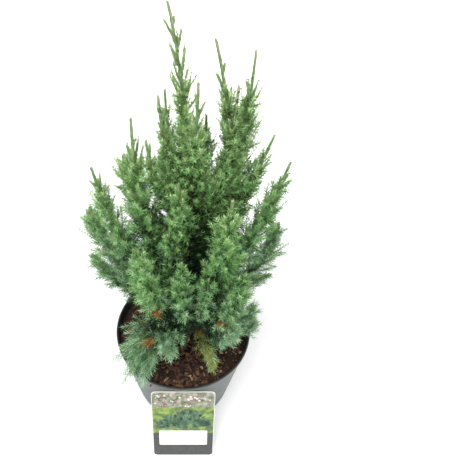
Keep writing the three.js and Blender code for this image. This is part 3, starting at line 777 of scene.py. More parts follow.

# %% [markdown]
# The tone is mostly painted light and shade. A needle is lighter the further out it sits on its twig,
# partly because the young needles there are paler and partly as painted light. It is also lighter the more
# it points up, as painted light from above. It gets painted shade inside the crown, on the old inner wood,
# low beside the trunk, and in the valleys where two plumes meet. Inside means well within the shell that
# the outermost needles of each height make, and a valley is where a twig's tip has little free radius
# left. Some plumes are painted a little lighter or darker as a whole, as painted light and shade. Chance
# breaks up the steps between the tones.

# %% Tone by painted light and shade
# painted light and shade for whole plumes: the upper right ones darker, the low right sprays and most left
# ones lighter
PLUME_PAINTED_LIGHT = {"crown_right_high": -0.15, "right_outer_shoot": -0.12, "right_front_plume": -0.1,
          "front_right_plume": -0.08, "front_right_leader": -0.06, "far_right_leader": -0.09,
          "right_plume": -0.05, "right_rim_spray": 0.07, "front_right_low_spray": 0.07,
          "low_right_front_spray": 0.06, "low_right_spray": 0.04,
          "left_rim_spray": -0.06, "left_leader": 0.05, "far_left_leader": 0.05, "left_plume": 0.06}
VALLEY_WIDTH, SHELL_STEP, SHELL_PERCENT, SHELL_LEAST = 7, 20, 93, 20
TONE_STEPS = [0.27, 0.45, 0.78]

levels = np.arange(150, 680, SHELL_STEP)
near = [np.abs(height - level) < SHELL_STEP for level in levels]
shell = np.array([np.percentile(reach[n], SHELL_PERCENT) if n.any() else SHELL_LEAST for n in near])
# painted shade inside the crown, well within the shell of the outermost needles
inside_crown = rise(reach / np.interp(height, levels, shell), 0.8, 0.3) * rise(height, 470, 390)
# painted shade in the valleys, where a twig's tip has little free radius left
valley = np.clip(1 - (free_radius(twigs[:, 2], twig_owner) - OVERLAP) / VALLEY_WIDTH, 0, 1)
valley = for_needles(np.zeros(len(stem_curve)), valley[twig_curve], valley[carrier])

# painted light: lighter further out on a twig, partly paler young needles, and lighter pointing up, as
# light from above
bright = 0.29 + 0.52 * needle_out + 0.18 * (spray_noise - 0.5) + 0.1 * heading[:, 2]
# painted shade inside the crown and on the inner twigs
bright = bright - 0.3 * inside_crown - mix(0.4, 0.1, rise(height, 230, 350)) * inner
# painted light and shade for whole plumes
bright = bright + by_name(PLUME_PAINTED_LIGHT, 0)[needle_owner]
# painted shade low beside the trunk's foot
bright = bright - 0.35 * rise(height, 235, 195) * rise(reach, 64, 44)
# painted shade in the valleys between plumes
bright = bright + 0.045 - mix(0.27, 0.08, rise(height, 320, 400)) * valley
bright = bright + rng.normal(0, 0.14, len(foot))
shade = hue + np.searchsorted(TONE_STEPS, bright)
print("needles per tone, deep to light:", np.bincount(shade - hue))

# %% [markdown]
# Some needles are special. The tips of the highest leaders are pale with young scales, and the last
# needles of some twigs are olive buds. One low spray in front has turned yellow. Dead needles stay on
# the plant and rust: three tufts in front and one beside the trunk's foot, each a ball with a ragged
# edge, and a few twigs at the foot of the crown.

# %% Pale tips, buds, yellow and dead needles
DEAD_SPOTS = [(-30, -61, 286, 10.5), (-43, -76, 239, 9.5), (46, -67, 270, 8.5), (21, -49, 223, 9)]
PALE_ABOVE, PALE_LEAST, PALE_MOST, BUD_RUN, YELLOW_SHARE = 480, 7, 24, 3, 0.6
DEAD_BELOW, DEAD_REACH, DEAD_TWIGS = 215, 62, 0.95

from_tip = np.linalg.norm(foot - tips[needle_owner], axis=1)
pale_end = mix(PALE_LEAST, PALE_MOST, rise(tip_height, 545, 625))[needle_owner]
pale = (young > 0.6) & (height > PALE_ABOVE)
pale &= rng.random(len(foot)) < 0.1 + 0.75 * np.clip(1.6 - from_tip / pale_end, 0, 1)
shade = np.where(pale, PALE, shade)
budding = (to_tip < BUD_RUN) & ~inner & (rng.random(len(foot)) < 0.12 + 0.3 * young)
shade = np.where(budding, OLIVE, shade)
yellowed = (names[needle_owner] == "front_yellow_spray") & (rng.random(len(foot)) < YELLOW_SHARE)
shade = np.where(yellowed, YELLOW, shade)
inner_low = (height < DEAD_BELOW) & (reach < DEAD_REACH) & (spray_noise > DEAD_TWIGS)
middle = foot + heading * (0.5 * length)[:, None]
spotted = np.zeros(len(foot), bool)
for x, y, z, radius in DEAD_SPOTS:
    spotted |= np.linalg.norm(middle - [x, y, z], axis=1) < radius * rng.uniform(0.6, 1.1, len(foot))
shade = np.where(inner_low | spotted, DEAD, shade)
print({shade_names[i]: int((shade == i).sum()) for i in range(len(shade_names))})

# %% [markdown]
# Each shade is one piece, and would be split if it grew past the 180,000 triangles that a piece may well
# hold. Each needle has only four points and two triangles, so the whole crown still renders fast. It has
# no thickness, because that of a real needle, half a millimetre, wouldn't show.

# %% Make the needle pieces
MOST_NEEDLES, BROAD_YOUNG, FLAT_YOUNG, SHOULDER_AT = 90000, 1.5, 0.5, 0.32


def needle_blades(foot, heading, across, length, young):
    """Each needle as a folded blade: its foot, two shoulders a third of the way up, and its tip.

    The shoulders lie beside and a little above the fold, which runs from foot to tip. Needles that lie
    close to a young shoot are broader, because they overlap there."""
    above = np.cross(heading, across)
    half = across * (NEEDLE_WIDTH / 2 * mix(1, BROAD_YOUNG, young))[:, None]
    shoulder = foot + heading * (SHOULDER_AT * length)[:, None]
    shoulder = shoulder + above * (NEEDLE_FOLD * mix(1, FLAT_YOUNG, young))[:, None]
    tip = foot + heading * length[:, None]
    points = np.stack([foot, shoulder - half, shoulder + half, tip], 1).reshape(-1, 3)
    faces = np.array([[0, 2, 3], [0, 3, 1]])
    triangles = (np.arange(len(foot))[:, None, None] * 4 + faces).reshape(-1, 3)
    return points, triangles


for number, name in enumerate(shade_names):
    members = np.flatnonzero(shade == number)
    material = new_material(name, SHADES[name], NEEDLE_ROUGHNESS, NEEDLE_GLOSS)[0]
    batches = max(1, math.ceil(len(members) / MOST_NEEDLES))
    for batch, part in enumerate(np.array_split(members, batches), 1):
        if not len(part):
            continue
        points, triangles = needle_blades(foot[part], heading[part], across[part], length[part],
                                          young[part])
        new_piece(f"{name}_{batch}", points, triangles, material, masses)

# %% [markdown]
# Under the needles, twigs and stems are slim tubes that taper. A tube could be a curve object with a
# bevel, but thousands of those are slow, so all tubes of one kind are worked out as one array of rings.

# %% Tubes along many curves


def slim_tubes(curves, start_radius, end_radius, rings, sides):
    """Tubes along many curves at once: rings of points square to each curve, then one end point.

    A ring's point is P + r (cos a E1 + sin a E2), with r falling evenly from start to end."""
    share = np.linspace(0, 1, rings + 1)[:-1]
    centre = on_curve(curves[:, None], share[None, :])
    along = along_curve(curves[:, None], share[None, :])
    e1 = unit(np.cross(along, [0.31, 0.17, 0.93]))
    e2 = np.cross(along, e1)
    radius = mix(start_radius[:, None], end_radius[:, None], share[None, :])[..., None, None]
    angle = np.linspace(0, 2 * np.pi, sides, endpoint=False)[None, None, :, None]
    ring = centre[:, :, None] + radius * (np.cos(angle) * e1[:, :, None] + np.sin(angle) * e2[:, :, None])
    count = len(curves)
    points = np.concatenate([ring.reshape(count, -1, 3), centre[:, :1], curves[:, 2:3]], 1)
    faces = tube_triangles(rings, sides)
    triangles = (np.arange(count)[:, None, None] * points.shape[1] + faces).reshape(-1, 3)
    return points.reshape(-1, 3), triangles


def tubes_piece(name, curves, foot_radius, tip_radius, rings, sides, material):
    """One piece of slim tubes, which stands for all the masses together, as the needles do."""
    points, triangles = slim_tubes(curves, foot_radius, tip_radius, rings, sides)
    new_piece(name, points, triangles, material, masses)


# %% [markdown]
# Juniper twigs are green in their first years and turn brown from the trunk outwards. So a twig is brown
# where it starts low and near the trunk, and of those only every second one by chance, because scales
# still cover the others. Twigs on young growth are pale olive. They show between the close scales, so
# they are thicker and rounder. Green and olive twigs are smooth, and brown bark is dull.

# %% Twigs
BROWN_BELOW, BROWN_UP_TO, BROWN_REACH, BROWN_CHANCE = 400, 0.5, 66, 0.5
young_bark = new_material("young_green_twig", "#6F8446", 0.6, 0.3)[0]
brown_twig = new_material("brown_twig_bark", "#5C4A34", 0.75, 0.25)[0]
pale_bark = new_material("pale_olive_shoot", "#869A6A", 0.6, 0.25)[0]
tubes_piece("small_twigs", small, np.full(len(small), 0.5), np.full(len(small), 0.3), 2, 3,
            young_bark)

age = youth(twigs[:, 1], twig_owner)
thick, thin = mix(mix(1.0, 0.55, twig_up), 0.95, age), mix(0.35, 0.7, age)
old = (twigs[:, 0, 2] < BROWN_BELOW) & (twig_up < BROWN_UP_TO)
old &= np.hypot(twigs[:, 0, 0], twigs[:, 0, 1]) < BROWN_REACH
old &= rand(np.arange(len(twigs)), 5) < BROWN_CHANCE
green, shoots = ~old & (age <= 0.5), ~old & (age > 0.5)
for name, chosen, rings, sides, material, slot in [
        ("side_twigs", old, 4, 4, brown_twig, "bark"),
        ("young_side_twigs", green, 4, 4, young_bark, "needles"),
        ("shoots_near_tips", shoots, 8, 6, pale_bark, "needles")]:
    tubes_piece(name, twigs[chosen], thick[chosen], thin[chosen], rings, sides, material)

# %% [markdown]
# A plume's stem is brown wood for its first half and green above. On a bough it starts where the bough
# ends, and elsewhere just inside the trunk's bark. Where the tip stands above 500 mm, the green end is a
# leading shoot: pale olive, and thicker the higher its tip stands, but slim in the crown.

# %% Stems of the plumes
LEADING_ABOVE, CROWN_STOUTNESS, GREEN_FROM_STEEP, GREEN_FROM = 500, 0.35, 0.2, 0.55
STEM_ON_BOUGH, STEM_ON_TRUNK, STEM_MIDDLE, INSIDE_BARK = 1.9, 2.3, 1.1, 0.7


def cut_curves(curves, start, end):
    """The part of each quadratic curve between two shares a and b, as a curve of its own.

    Its knee is (1-a)(1-b) S + (a(1-b) + b(1-a)) K + ab T."""
    a, b = start[:, None], end[:, None]
    knee = (1 - a) * (1 - b) * curves[:, 0] + (a + b - 2 * a * b) * curves[:, 1] + a * b * curves[:, 2]
    return np.stack([on_curve(curves, start), knee, on_curve(curves, end)], 1)


off_axis = trunk_radius(lines[:, 0, 2]) * INSIDE_BARK / lengths
begin = np.where(kinds == "bough", bare, np.where(kinds == "top", 0, off_axis))
green_from = np.where(steep, GREEN_FROM_STEEP, GREEN_FROM)
stem_foot = np.where(kinds == "bough", STEM_ON_BOUGH, STEM_ON_TRUNK)
tubes_piece("plume_stems", cut_curves(lines, begin, green_from), stem_foot,
            np.full(len(lines), STEM_MIDDLE), 20, 7, brown_twig)

high = tip_height > LEADING_ABOVE
leading = rise(tip_height, 400, 550) * np.where(kinds == "crown", CROWN_STOUTNESS, 1)
young_foot, young_tip = mix(0.9, 1.7, leading), mix(0.5, 0.95, leading)
young_lines = cut_curves(lines, green_from, np.ones(len(lines)))
for name, chosen, material in [("leading_shoots", high, pale_bark), ("young_stems", ~high, young_bark)]:
    tubes_piece(name, young_lines[chosen], young_foot[chosen], young_tip[chosen], 24, 7, material)

# %% [markdown]
# The trunk and boughs
#
# Young juniper bark is red-brown and peels in thin lengthwise strips. On the real plant it is a mesh of
# ridges a millimetre or two wide, so the relief is in the geometry: the radius of each ring is pushed
# in and out by noise that is stretched along the stem. The colour follows strips of the same kind. They
# are 3.2 mm wide and five times as long, because the mapping shrinks the pattern's height to a fifth.

# %% Bark material
STRIP_WIDTH, STRIP_SHORTENING = 3.2, 0.2


def bark_material():
    """Red-brown bark: matt, darker in the furrows, with noise stretched along the stem."""
    material, tree, shader = new_material("juniper_bark", "#5E4A38", 0.85, 0.2)
    where = add_node(tree, "ShaderNodeTexCoord")
    stretch = add_node(tree, "ShaderNodeMapping", {"Scale": (1, 1, STRIP_SHORTENING)},
                       {"Vector": where.outputs["Object"]})
    strips = add_node(tree, "ShaderNodeTexNoise", {"Scale": 1 / (STRIP_WIDTH * MM), "Detail": 6},
                      {"Vector": stretch.outputs[0]})
    ramp = add_node(tree, "ShaderNodeValToRGB", (), {"Fac": strips.outputs["Fac"]})
    ramp.color_ramp.elements[0].position, ramp.color_ramp.elements[1].position = 0.32, 0.7
    ramp.color_ramp.elements[0].color = linear("#33251B")
    ramp.color_ramp.elements[1].color = linear("#7A614A")
    tree.links.new(ramp.outputs["Color"], shader.inputs["Base Color"])
    bump = add_node(tree, "ShaderNodeBump", {"Strength": 0.5, "Distance": 0.4 * MM},
                    {"Height": strips.outputs["Fac"]})
    tree.links.new(bump.outputs["Normal"], shader.inputs["Normal"])
    return material


# %% [markdown]
# The trunk's foot spreads into four blunt roots, which fade with the flare. Its rings are closer there.
# A bough starts inside the trunk's bark and tapers to where its plume begins.

# %% Trunk and boughs
TRUNK_RINGS, TRUNK_SIDES, TRUNK_RELIEF, RINGS_LOW = 220, 40, 0.35, 1.25
ROOTS, ROOT_DEPTH = 4, 0.16
BOUGH_RINGS, BOUGH_SIDES, BOUGH_RELIEF, BOUGH_SUNK = 60, 18, 0.22, 0.8


def ridged_limb(centre, along, radius, sides, relief, seed):
    """Rings round a line with ridges: r = radius(s) + relief * noise.

    The noise is 0.7 of ridges 3 mm wide and six times as long, and 0.3 of ridges 1.3 mm wide."""
    angle = np.linspace(0, 2 * np.pi, sides, endpoint=False)
    side, up = upright_frame(along)
    square = side[:, None] * np.cos(angle)[None, :, None] + up[:, None] * np.sin(angle)[None, :, None]
    smooth = centre[:, None] + square * radius[..., None]
    ridge = grain(smooth * [1, 1, 0.16], 3.0, seed) * 0.7
    ridge = ridge + grain(smooth * [1, 1, 0.3], 1.3, seed + 1) * 0.3
    rings = centre[:, None] + square * (radius + relief * ridge)[..., None]
    points = np.concatenate([rings.reshape(-1, 3), centre[:1], centre[-1:]])
    return points, tube_triangles(len(centre), sides)


bark = bark_material()
height = mix(SOIL_TOP + GAP, TRUNK_END, np.linspace(0, 1, TRUNK_RINGS) ** RINGS_LOW)
centre = on_curve(TRUNK_LINE, trunk_share(height))
level = np.tile([0.0, 0.0, 1.0], (TRUNK_RINGS, 1))
turn = np.linspace(0, 2 * np.pi, TRUNK_SIDES, endpoint=False)
fade = np.exp(-(height[:, None] - SOIL_TOP) / FLARE_HEIGHT)
radius = trunk_radius(height)[:, None] * (1 + ROOT_DEPTH * np.cos(ROOTS * turn[None] + 1) * fade)
points, triangles = ridged_limb(centre, level, radius, TRUNK_SIDES, TRUNK_RELIEF, 21)
new_piece("trunk_bark", points, triangles, bark, ["trunk"], smooth=True)

for k in np.flatnonzero(kinds == "bough"):
    line, name = lines[k], plumes[k]["name"]
    share = np.linspace(trunk_radius(line[0, 2]) * BOUGH_SUNK / lengths[k], bare[k], BOUGH_RINGS)
    radius = mix(BOUGH_RADIUS, BOUGH_END_RADIUS, share / bare[k])[:, None] * np.ones(BOUGH_SIDES)
    points, triangles = ridged_limb(on_curve(line, share), along_curve(line, share), radius, BOUGH_SIDES,
                                    BOUGH_RELIEF, 40 + int(k))
    new_piece(f"bark_{name}", points, triangles, bark, [f"bough_{name}"], smooth=True)

# %% [markdown]
# The pot
#
# A nursery pot is thermoformed from a sheet with a grey skin outside and black inside. It is a surface
# of revolution with a thin wall and a narrow rounded lip. The lip's edge shows the black inner layer.
# A cylinder with bevels could make it too, but a turned profile gives each corner its own radius.

# %% Pot
POT_SLOPE = (RIM_RADIUS - LIP_THICK + WALL - FOOT_RADIUS) / POT_HEIGHT
FOOT_ROUND, LIP_UNDER_ROUND, LIP_ROUND, INNER_ROUND, LIP_BLACK = 2.2, 0.9, 1.4, 0.8, 1.1
POT_SEGMENTS = 144


def wall_at(height):
    """Outer radius of the pot's wall at a height."""
    return FOOT_RADIUS + POT_SLOPE * height


def arc(centre, radius, first, last, count):
    """Points of a round corner: centre + radius (cos a, sin a), with a in degrees from first to last."""
    angle = np.radians(np.linspace(first, last, count))
    return [(centre[0] + radius * math.cos(a), centre[1] + radius * math.sin(a)) for a in angle]


lip_foot = POT_HEIGHT - LIP_HEIGHT
lip_inside = RIM_RADIUS - LIP_THICK
outside = ([(0, 0), (FOOT_RADIUS - 6, 0)]
           + arc((FOOT_RADIUS - FOOT_ROUND, FOOT_ROUND), FOOT_ROUND, -90, 0, 6)
           + [(wall_at(z), z) for z in np.linspace(6, lip_foot - 0.6, 24)]
           + arc((RIM_RADIUS - LIP_UNDER_ROUND, lip_foot + LIP_UNDER_ROUND), LIP_UNDER_ROUND, -90, 0, 5)
           + arc((RIM_RADIUS - LIP_ROUND, POT_HEIGHT - LIP_ROUND), LIP_ROUND, 0, 90, 7))
inside = (arc((lip_inside + INNER_ROUND, POT_HEIGHT - INNER_ROUND), INNER_ROUND, 90, 180, 4)
          + [(wall_at(z) - WALL, z) for z in np.linspace(lip_foot, 4, 16)]
          + [(FOOT_RADIUS - WALL - 2, WALL), (0, WALL)])
points, triangles = lathe(outside + inside, POT_SEGMENTS)
middle = points[triangles].mean(1)
from_axis = np.hypot(middle[:, 0], middle[:, 1])
black = (from_axis < wall_at(middle[:, 2]) - WALL / 2) & (middle[:, 2] > 0.5)
black |= middle[:, 2] > POT_HEIGHT - LIP_BLACK
print("the pot's profile has", len(outside + inside), "points;", int(black.sum()), "faces are black")

# %% [markdown]
# The skin is polypropylene: satin, with the faint pebble that a rolled sheet keeps, and scuffs a few
# centimetres wide from handling, where it is duller. The pebble is drawn 1.5 mm wide, coarser than it
# is, because a finer one wouldn't show.

# %% The pot's skin
PEBBLE_SIZE, SCUFF_SIZE = 1.5, 38


def pot_skin(name, hex_colour, roughness):
    """Polypropylene sheet: satin, with a faint pebble as bump and scuffs that change the roughness."""
    material, tree, shader = new_material(name, hex_colour, roughness, 0.45)
    where = add_node(tree, "ShaderNodeTexCoord")
    pebble = add_node(tree, "ShaderNodeTexNoise", {"Scale": 1 / (PEBBLE_SIZE * MM), "Detail": 3},
                      {"Vector": where.outputs["Object"]})
    scuff = add_node(tree, "ShaderNodeTexNoise", {"Scale": 1 / (SCUFF_SIZE * MM), "Detail": 5},
                     {"Vector": where.outputs["Object"]})
    dull = add_node(tree, "ShaderNodeMapRange", {"To Min": roughness - 0.08, "To Max": roughness + 0.12},
                    {"Value": scuff.outputs["Fac"]})
    tree.links.new(dull.outputs["Result"], shader.inputs["Roughness"])
    bump = add_node(tree, "ShaderNodeBump", {"Strength": 0.12, "Distance": 0.2 * MM},
                    {"Height": pebble.outputs["Fac"]})
    tree.links.new(bump.outputs["Normal"], shader.inputs["Normal"])
    return material


skins = [pot_skin("grey_polypropylene", "#4B524F", 0.42),
         pot_skin("black_polypropylene", "#1B1D1C", 0.4)]
new_piece("pot_shell", points, triangles, skins, ["pot"], smooth=True, indices=black)

# %% [markdown]
# The substrate is moist peat with chips of bark. The bed is a disc whose height is noise, and a skirt
# inside the pot closes it below, so that it is a solid and no light gets under it.

# %% Substrate bed
BED_RINGS, BED_SIDES, SKIRT_HEIGHT = 56, 150, 60
ROUGHEST, LUMP_WIDTH, CRUMB_WIDTH = 1.6, 17, 5
bed_radius = wall_at(SOIL_TOP) - WALL - 0.5


def bed_height(x, y):
    """Height of the bed: lumps and crumbs of noise, calm round the trunk's foot and at the rim."""
    flat = np.stack([x, y, np.zeros_like(x)], -1)
    out = np.hypot(x, y)
    calm = np.clip((out - 14) / 20, 0, 1) * np.clip((bed_radius + 4 - out) / 14, 0.3, 1)
    rough = grain(flat, LUMP_WIDTH, 3) * 0.8 + grain(flat, CRUMB_WIDTH, 4) * 0.5
    return SOIL_TOP - 0.5 + np.clip(rough, -ROUGHEST, ROUGHEST) * calm


ring = np.linspace(0.02, 1, BED_RINGS) * bed_radius
turn = np.linspace(0, 2 * np.pi, BED_SIDES, endpoint=False)
x, y = ring[:, None] * np.cos(turn), ring[:, None] * np.sin(turn)
surface = np.stack([x, y, bed_height(x, y)], -1)
shrink = (wall_at(SKIRT_HEIGHT) - WALL - 1) / bed_radius
skirt = np.stack([x[-1] * shrink, y[-1] * shrink, np.full(BED_SIDES, float(SKIRT_HEIGHT))], -1)
rings = np.concatenate([skirt[None], surface[::-1]])
points = np.concatenate([rings.reshape(-1, 3), [[0, 0, SKIRT_HEIGHT]], [[0, 0, bed_height(0.0, 0.0)]]])
triangles = tube_triangles(len(rings), BED_SIDES)
print("the bed's heights:", surface[..., 2].min().round(1), "to", surface[..., 2].max().round(1), "mm")

# %% [markdown]
# Peat is matt, and near black where it is wet. Under the crown little light comes in, so its colour is
# scaled down near the trunk as painted shade. The distance is taken from the pot's underside in its
# middle: the bed is 138 mm up, so 142 mm away is 33 mm from the trunk, and 158 mm is 77 mm.

# %% Peat
# distances and level of the painted shade near the trunk
CRUMB_PATTERN, SHADE_FULL_TO, SHADE_NONE_FROM, PAINTED_SHADE_LEVEL = 4, 142, 158, 0.12


def peat_material():
    """Moist peat: near black brown with lighter crumbs 4 mm wide, matt, with painted shade near the trunk.
    """
    material, tree, shader = new_material("moist_peat", "#261B12", 0.92, 0.2)
    where = add_node(tree, "ShaderNodeTexCoord")
    crumbs = add_node(tree, "ShaderNodeTexNoise",
                      {"Scale": 1 / (CRUMB_PATTERN * MM), "Detail": 8, "Roughness": 0.65},
                      {"Vector": where.outputs["Object"]})
    ramp = add_node(tree, "ShaderNodeValToRGB", (), {"Fac": crumbs.outputs["Fac"]})
    ramp.color_ramp.elements[0].position, ramp.color_ramp.elements[1].position = 0.35, 0.72
    ramp.color_ramp.elements[0].color = linear("#0E0A07")
    ramp.color_ramp.elements[1].color = linear("#3E2D1E")
    # painted shade: the colour is scaled down near the trunk, where the crown keeps light off
    nearness = add_node(tree, "ShaderNodeVectorMath", (), {"Vector": where.outputs["Object"]})
    nearness.operation = "LENGTH"
    painted_shade_ramp = add_node(tree, "ShaderNodeMapRange", {"From Min": SHADE_FULL_TO * MM, "From Max": SHADE_NONE_FROM * MM,
                                                    "To Min": PAINTED_SHADE_LEVEL, "To Max": 1.0},
                       {"Value": nearness.outputs["Value"]})
    shaded_peat_colour = add_node(tree, "ShaderNodeVectorMath", (), {0: ramp.outputs["Color"]})
    shaded_peat_colour.operation = "SCALE"
    tree.links.new(painted_shade_ramp.outputs["Result"], shaded_peat_colour.inputs["Scale"])
    tree.links.new(shaded_peat_colour.outputs["Vector"], shader.inputs["Base Color"])
    bump = add_node(tree, "ShaderNodeBump", {"Strength": 0.9, "Distance": 1.2 * MM},
                    {"Height": crumbs.outputs["Fac"]})
    tree.links.new(bump.outputs["Normal"], shader.inputs["Normal"])
    return material


new_piece("peat_bed", points, triangles, peat_material(), ["substrate"], smooth=True)

# %% [markdown]
# Bark chips lie on the peat. Ground bark breaks into long splinters of very different sizes, as a
# lognormal draw gives them: half are longer than 6.4 mm, half are wider than 2.1 mm, and a few are much
# larger. A chip is a box with its corners moved in and out at random, turned and tilted, in one of four
# browns. Twelve faces each are enough, because it is the edges and the shadows that show.

# %% Bark chips
CHIPS, LONGEST_CHIP, TILT, COLOUR_LIMITS = 1900, 19, 0.24, [0.4, 0.74, 0.96]
draw = np.random.default_rng(5)
out = np.sqrt(draw.uniform(0.03, 0.97, CHIPS)) * (bed_radius - 2)
turn = draw.uniform(0, 2 * np.pi, CHIPS)
x, y = out * np.cos(turn), out * np.sin(turn)
size = np.stack([draw.lognormal(1.85, 0.45, CHIPS), draw.lognormal(0.75, 0.35, CHIPS),
                 draw.uniform(0.5, 1.3, CHIPS)], -1)
size[:, 0] = np.minimum(size[:, 0], LONGEST_CHIP)
square = ((-1, -1), (1, -1), (1, 1), (-1, 1))
corner = np.array([[sx, sy, sz] for sz in (-1, 1) for sx, sy in square]) * 0.5
box = np.array([[0, 2, 1], [0, 3, 2], [4, 5, 6], [4, 6, 7], [0, 1, 5], [0, 5, 4],
                [1, 2, 6], [1, 6, 5], [2, 3, 7], [2, 7, 6], [3, 0, 4], [3, 4, 7]])
shape = corner[None] * size[:, None] * draw.uniform(0.55, 1.25, (CHIPS, 8, 3))
yaw, pitch = draw.uniform(0, 2 * np.pi, CHIPS), draw.normal(0, TILT, CHIPS)
cy, sy, cp, sp = np.cos(yaw), np.sin(yaw), np.cos(pitch), np.sin(pitch)
zero = np.zeros(CHIPS)
rotate = np.stack([np.stack([cy * cp, -sy, cy * sp], -1), np.stack([sy * cp, cy, sy * sp], -1),
                   np.stack([-sp, zero, cp], -1)], 1)
centre = np.stack([x, y, bed_height(x, y) + 0.25 * size[:, 2] + 0.2], -1)
chips = np.einsum("nij,nkj->nki", rotate, shape) + centre[:, None]
CHIP_COLOURS = {"chip_dark_bark": "#261B14", "chip_red_bark": "#472E22", "chip_brown_bark": "#5C442F",
                "chip_pale_wood": "#88755C"}
kind = np.searchsorted(COLOUR_LIMITS, draw.random(CHIPS))
for number, (name, colour) in enumerate(CHIP_COLOURS.items()):
    chosen = chips[kind == number]
    triangles = (np.arange(len(chosen))[:, None, None] * 8 + box).reshape(-1, 3)
    new_piece(name, chosen.reshape(-1, 3), triangles, new_material(name, colour, 0.85, 0.25)[0])

# %% [markdown]
# The label card
#
# A printed plastic card stands on the ground and leans on the pot. Its print is a generic one: clumps
# of small leaves and dots on a green ground, over a bare white panel in a dark grey foot. An image could
# carry the print, but here every area is its own thin plate, so its edge stays crisp from close by.

# %% Card
CARD_WIDTH, CARD_LENGTH, CARD_THICK, CARD_CORNER, CARD_FOOT_Y = 87, 144, 0.5, 5.5, -126
wall_top = wall_at(POT_HEIGHT - LIP_HEIGHT - 4)
card_lean = math.asin((-CARD_FOOT_Y - wall_top - CARD_THICK - GAP) / CARD_LENGTH)


def on_card(flat, lift):
    """Places card points (x across, y up the card) in space, `lift` in front of the card's face."""
    x, y = flat[:, 0], flat[:, 1]
    return np.stack([x, CARD_FOOT_Y + y * math.sin(card_lean) - lift * math.cos(card_lean),
                     y * math.cos(card_lean) + lift * math.sin(card_lean)], -1)


def plate(outline, back, front):
    """A thin plate from an outline that bulges nowhere inward: fans front and back, and its edge."""
    outline = np.asarray(outline, float)
    count = len(outline)
    points = np.concatenate([on_card(outline, back), on_card(outline, front),
                             on_card(outline.mean(0)[None], back), on_card(outline.mean(0)[None], front)])
    i = np.arange(count)
    j = (i + 1) % count
    edge = np.concatenate([np.stack([i, j, j + count], -1), np.stack([i, j + count, i + count], -1)])
    rear = np.stack([np.full(count, 2 * count), j, i], -1)
    face = np.stack([np.full(count, 2 * count + 1), i + count, j + count], -1)
    return points, np.concatenate([edge, rear, face])


def rounded(x0, y0, x1, y1, radii, count=8):
    """Outline of a rectangle with round corners, counter-clockwise from the lower left one."""
    corners = [(x0, y0, 180), (x1, y0, 270), (x1, y1, 0), (x0, y1, 90)]
    outline = []
    for (x, y, first), r in zip(corners, radii):
        cx, cy = x + (r if x == x0 else -r), y + (r if y == y0 else -r)
        outline += arc((cx, cy), r, first, first + 90, count)
    return outline


half = CARD_WIDTH / 2
points, triangles = plate(rounded(-half, 0, half, CARD_LENGTH, [CARD_CORNER] * 4), 0, CARD_THICK)
card_stock = new_material("white_card_stock", "#E9EBE3", 0.4, 0.5)[0]
new_piece("card_stock", points, triangles, card_stock, ["label_card"])
print("the card leans by", round(math.degrees(card_lean), 1), "degrees")

# %% [markdown]
# The print is offset ink under a thin gloss. Ink has no thickness that shows, but two plates in the same
# plane would flicker, so each layer lies 0.06 mm in front of the last. Soft patches of two close inks,
# 5 to 9 mm wide, keep the areas from looking flat.

# %% Areas of the print
INK, BORDER, MEADOW_FROM, SKY_FROM, SQUARE = 0.06, 0.6, 54, 112, 0.5
PANEL_MARGIN, PANEL_FROM, PANEL_TO = 9.2, 26, 59


def card_print(name, first, second, size):
    """Offset print on polystyrene card: two close inks in soft patches `size` mm wide, slightly glossy."""
    material, tree, shader = new_material(name, first, 0.35, 0.5)
    where = add_node(tree, "ShaderNodeTexCoord")
    patch = add_node(tree, "ShaderNodeTexNoise", {"Scale": 1 / (size * MM), "Detail": 4},
                     {"Vector": where.outputs["Object"]})
    ramp = add_node(tree, "ShaderNodeValToRGB", (), {"Fac": patch.outputs["Fac"]})
    ramp.color_ramp.elements[0].position, ramp.color_ramp.elements[1].position = 0.38, 0.64
    ramp.color_ramp.elements[0].color, ramp.color_ramp.elements[1].color = linear(first), linear(second)
    tree.links.new(ramp.outputs["Color"], shader.inputs["Base Color"])
    return material


def printed(name, outlines, layer, material):
    """One or many small plates, joined into one piece of print."""
    all_points, all_triangles, total = [], [], 0
    for outline in outlines:
        points, triangles = plate(outline, CARD_THICK + INK * (layer - 1), CARD_THICK + INK * layer)
        all_points.append(points)
        all_triangles.append(triangles + total)
        total += len(points)
    new_piece(name, np.concatenate(all_points), np.concatenate(all_triangles), material)


edge, top = half - BORDER, CARD_LENGTH - BORDER
below, above = [CARD_CORNER] * 2 + [SQUARE] * 2, [SQUARE] * 2 + [CARD_CORNER] * 2
panel = half - PANEL_MARGIN
printed("card_meadow", [rounded(-edge, MEADOW_FROM, edge, top, above)], 1,
        card_print("card_meadow_print", "#3F5A2C", "#7E9A38", 9))
printed("card_sky", [rounded(-edge, SKY_FROM, edge, top, above)], 2,
        card_print("card_sky_print", "#596247", "#9A978A", 6))
printed("card_foot", [rounded(-edge, BORDER, edge, MEADOW_FROM, below)], 1,
        card_print("card_foot_print", "#282B2A", "#333736", 5))
printed("card_panel", [rounded(-panel, PANEL_FROM, panel, PANEL_TO, [1] * 4)], 3,
        new_material("card_panel_white", "#F4F5F0", 0.4, 0.5)[0])

# %% [markdown]
# The leaves fan out of three clumps, denser and larger in the middle, and small round flowers dot the
# upper part. Random draws place them, always the same way, and a leaf is an outline of 22 points.

# %% Leaves and dots
CLUMPS = [(-16, 70, 22), (8, 76, 28), (28, 70, 13)]
LEAVES_PER_MM, LEAF_MARGIN, DOTS = 7, 8, 90


def leaf(cx, cy, length, width, turn, count=12):
    """Outline of a pointed oval leaf: half width w sin(pi s)^0.8 along its length."""
    s = np.linspace(0, 1, count)
    half_width = width / 2 * np.sin(np.pi * s) ** 0.8
    x = np.concatenate([s - 0.5, (s - 0.5)[::-1][1:-1]]) * length
    y = np.concatenate([-half_width, half_width[::-1][1:-1]])
    c, q = math.cos(turn), math.sin(turn)
    return np.stack([cx + c * x - q * y, cy + q * x + c * y], -1)


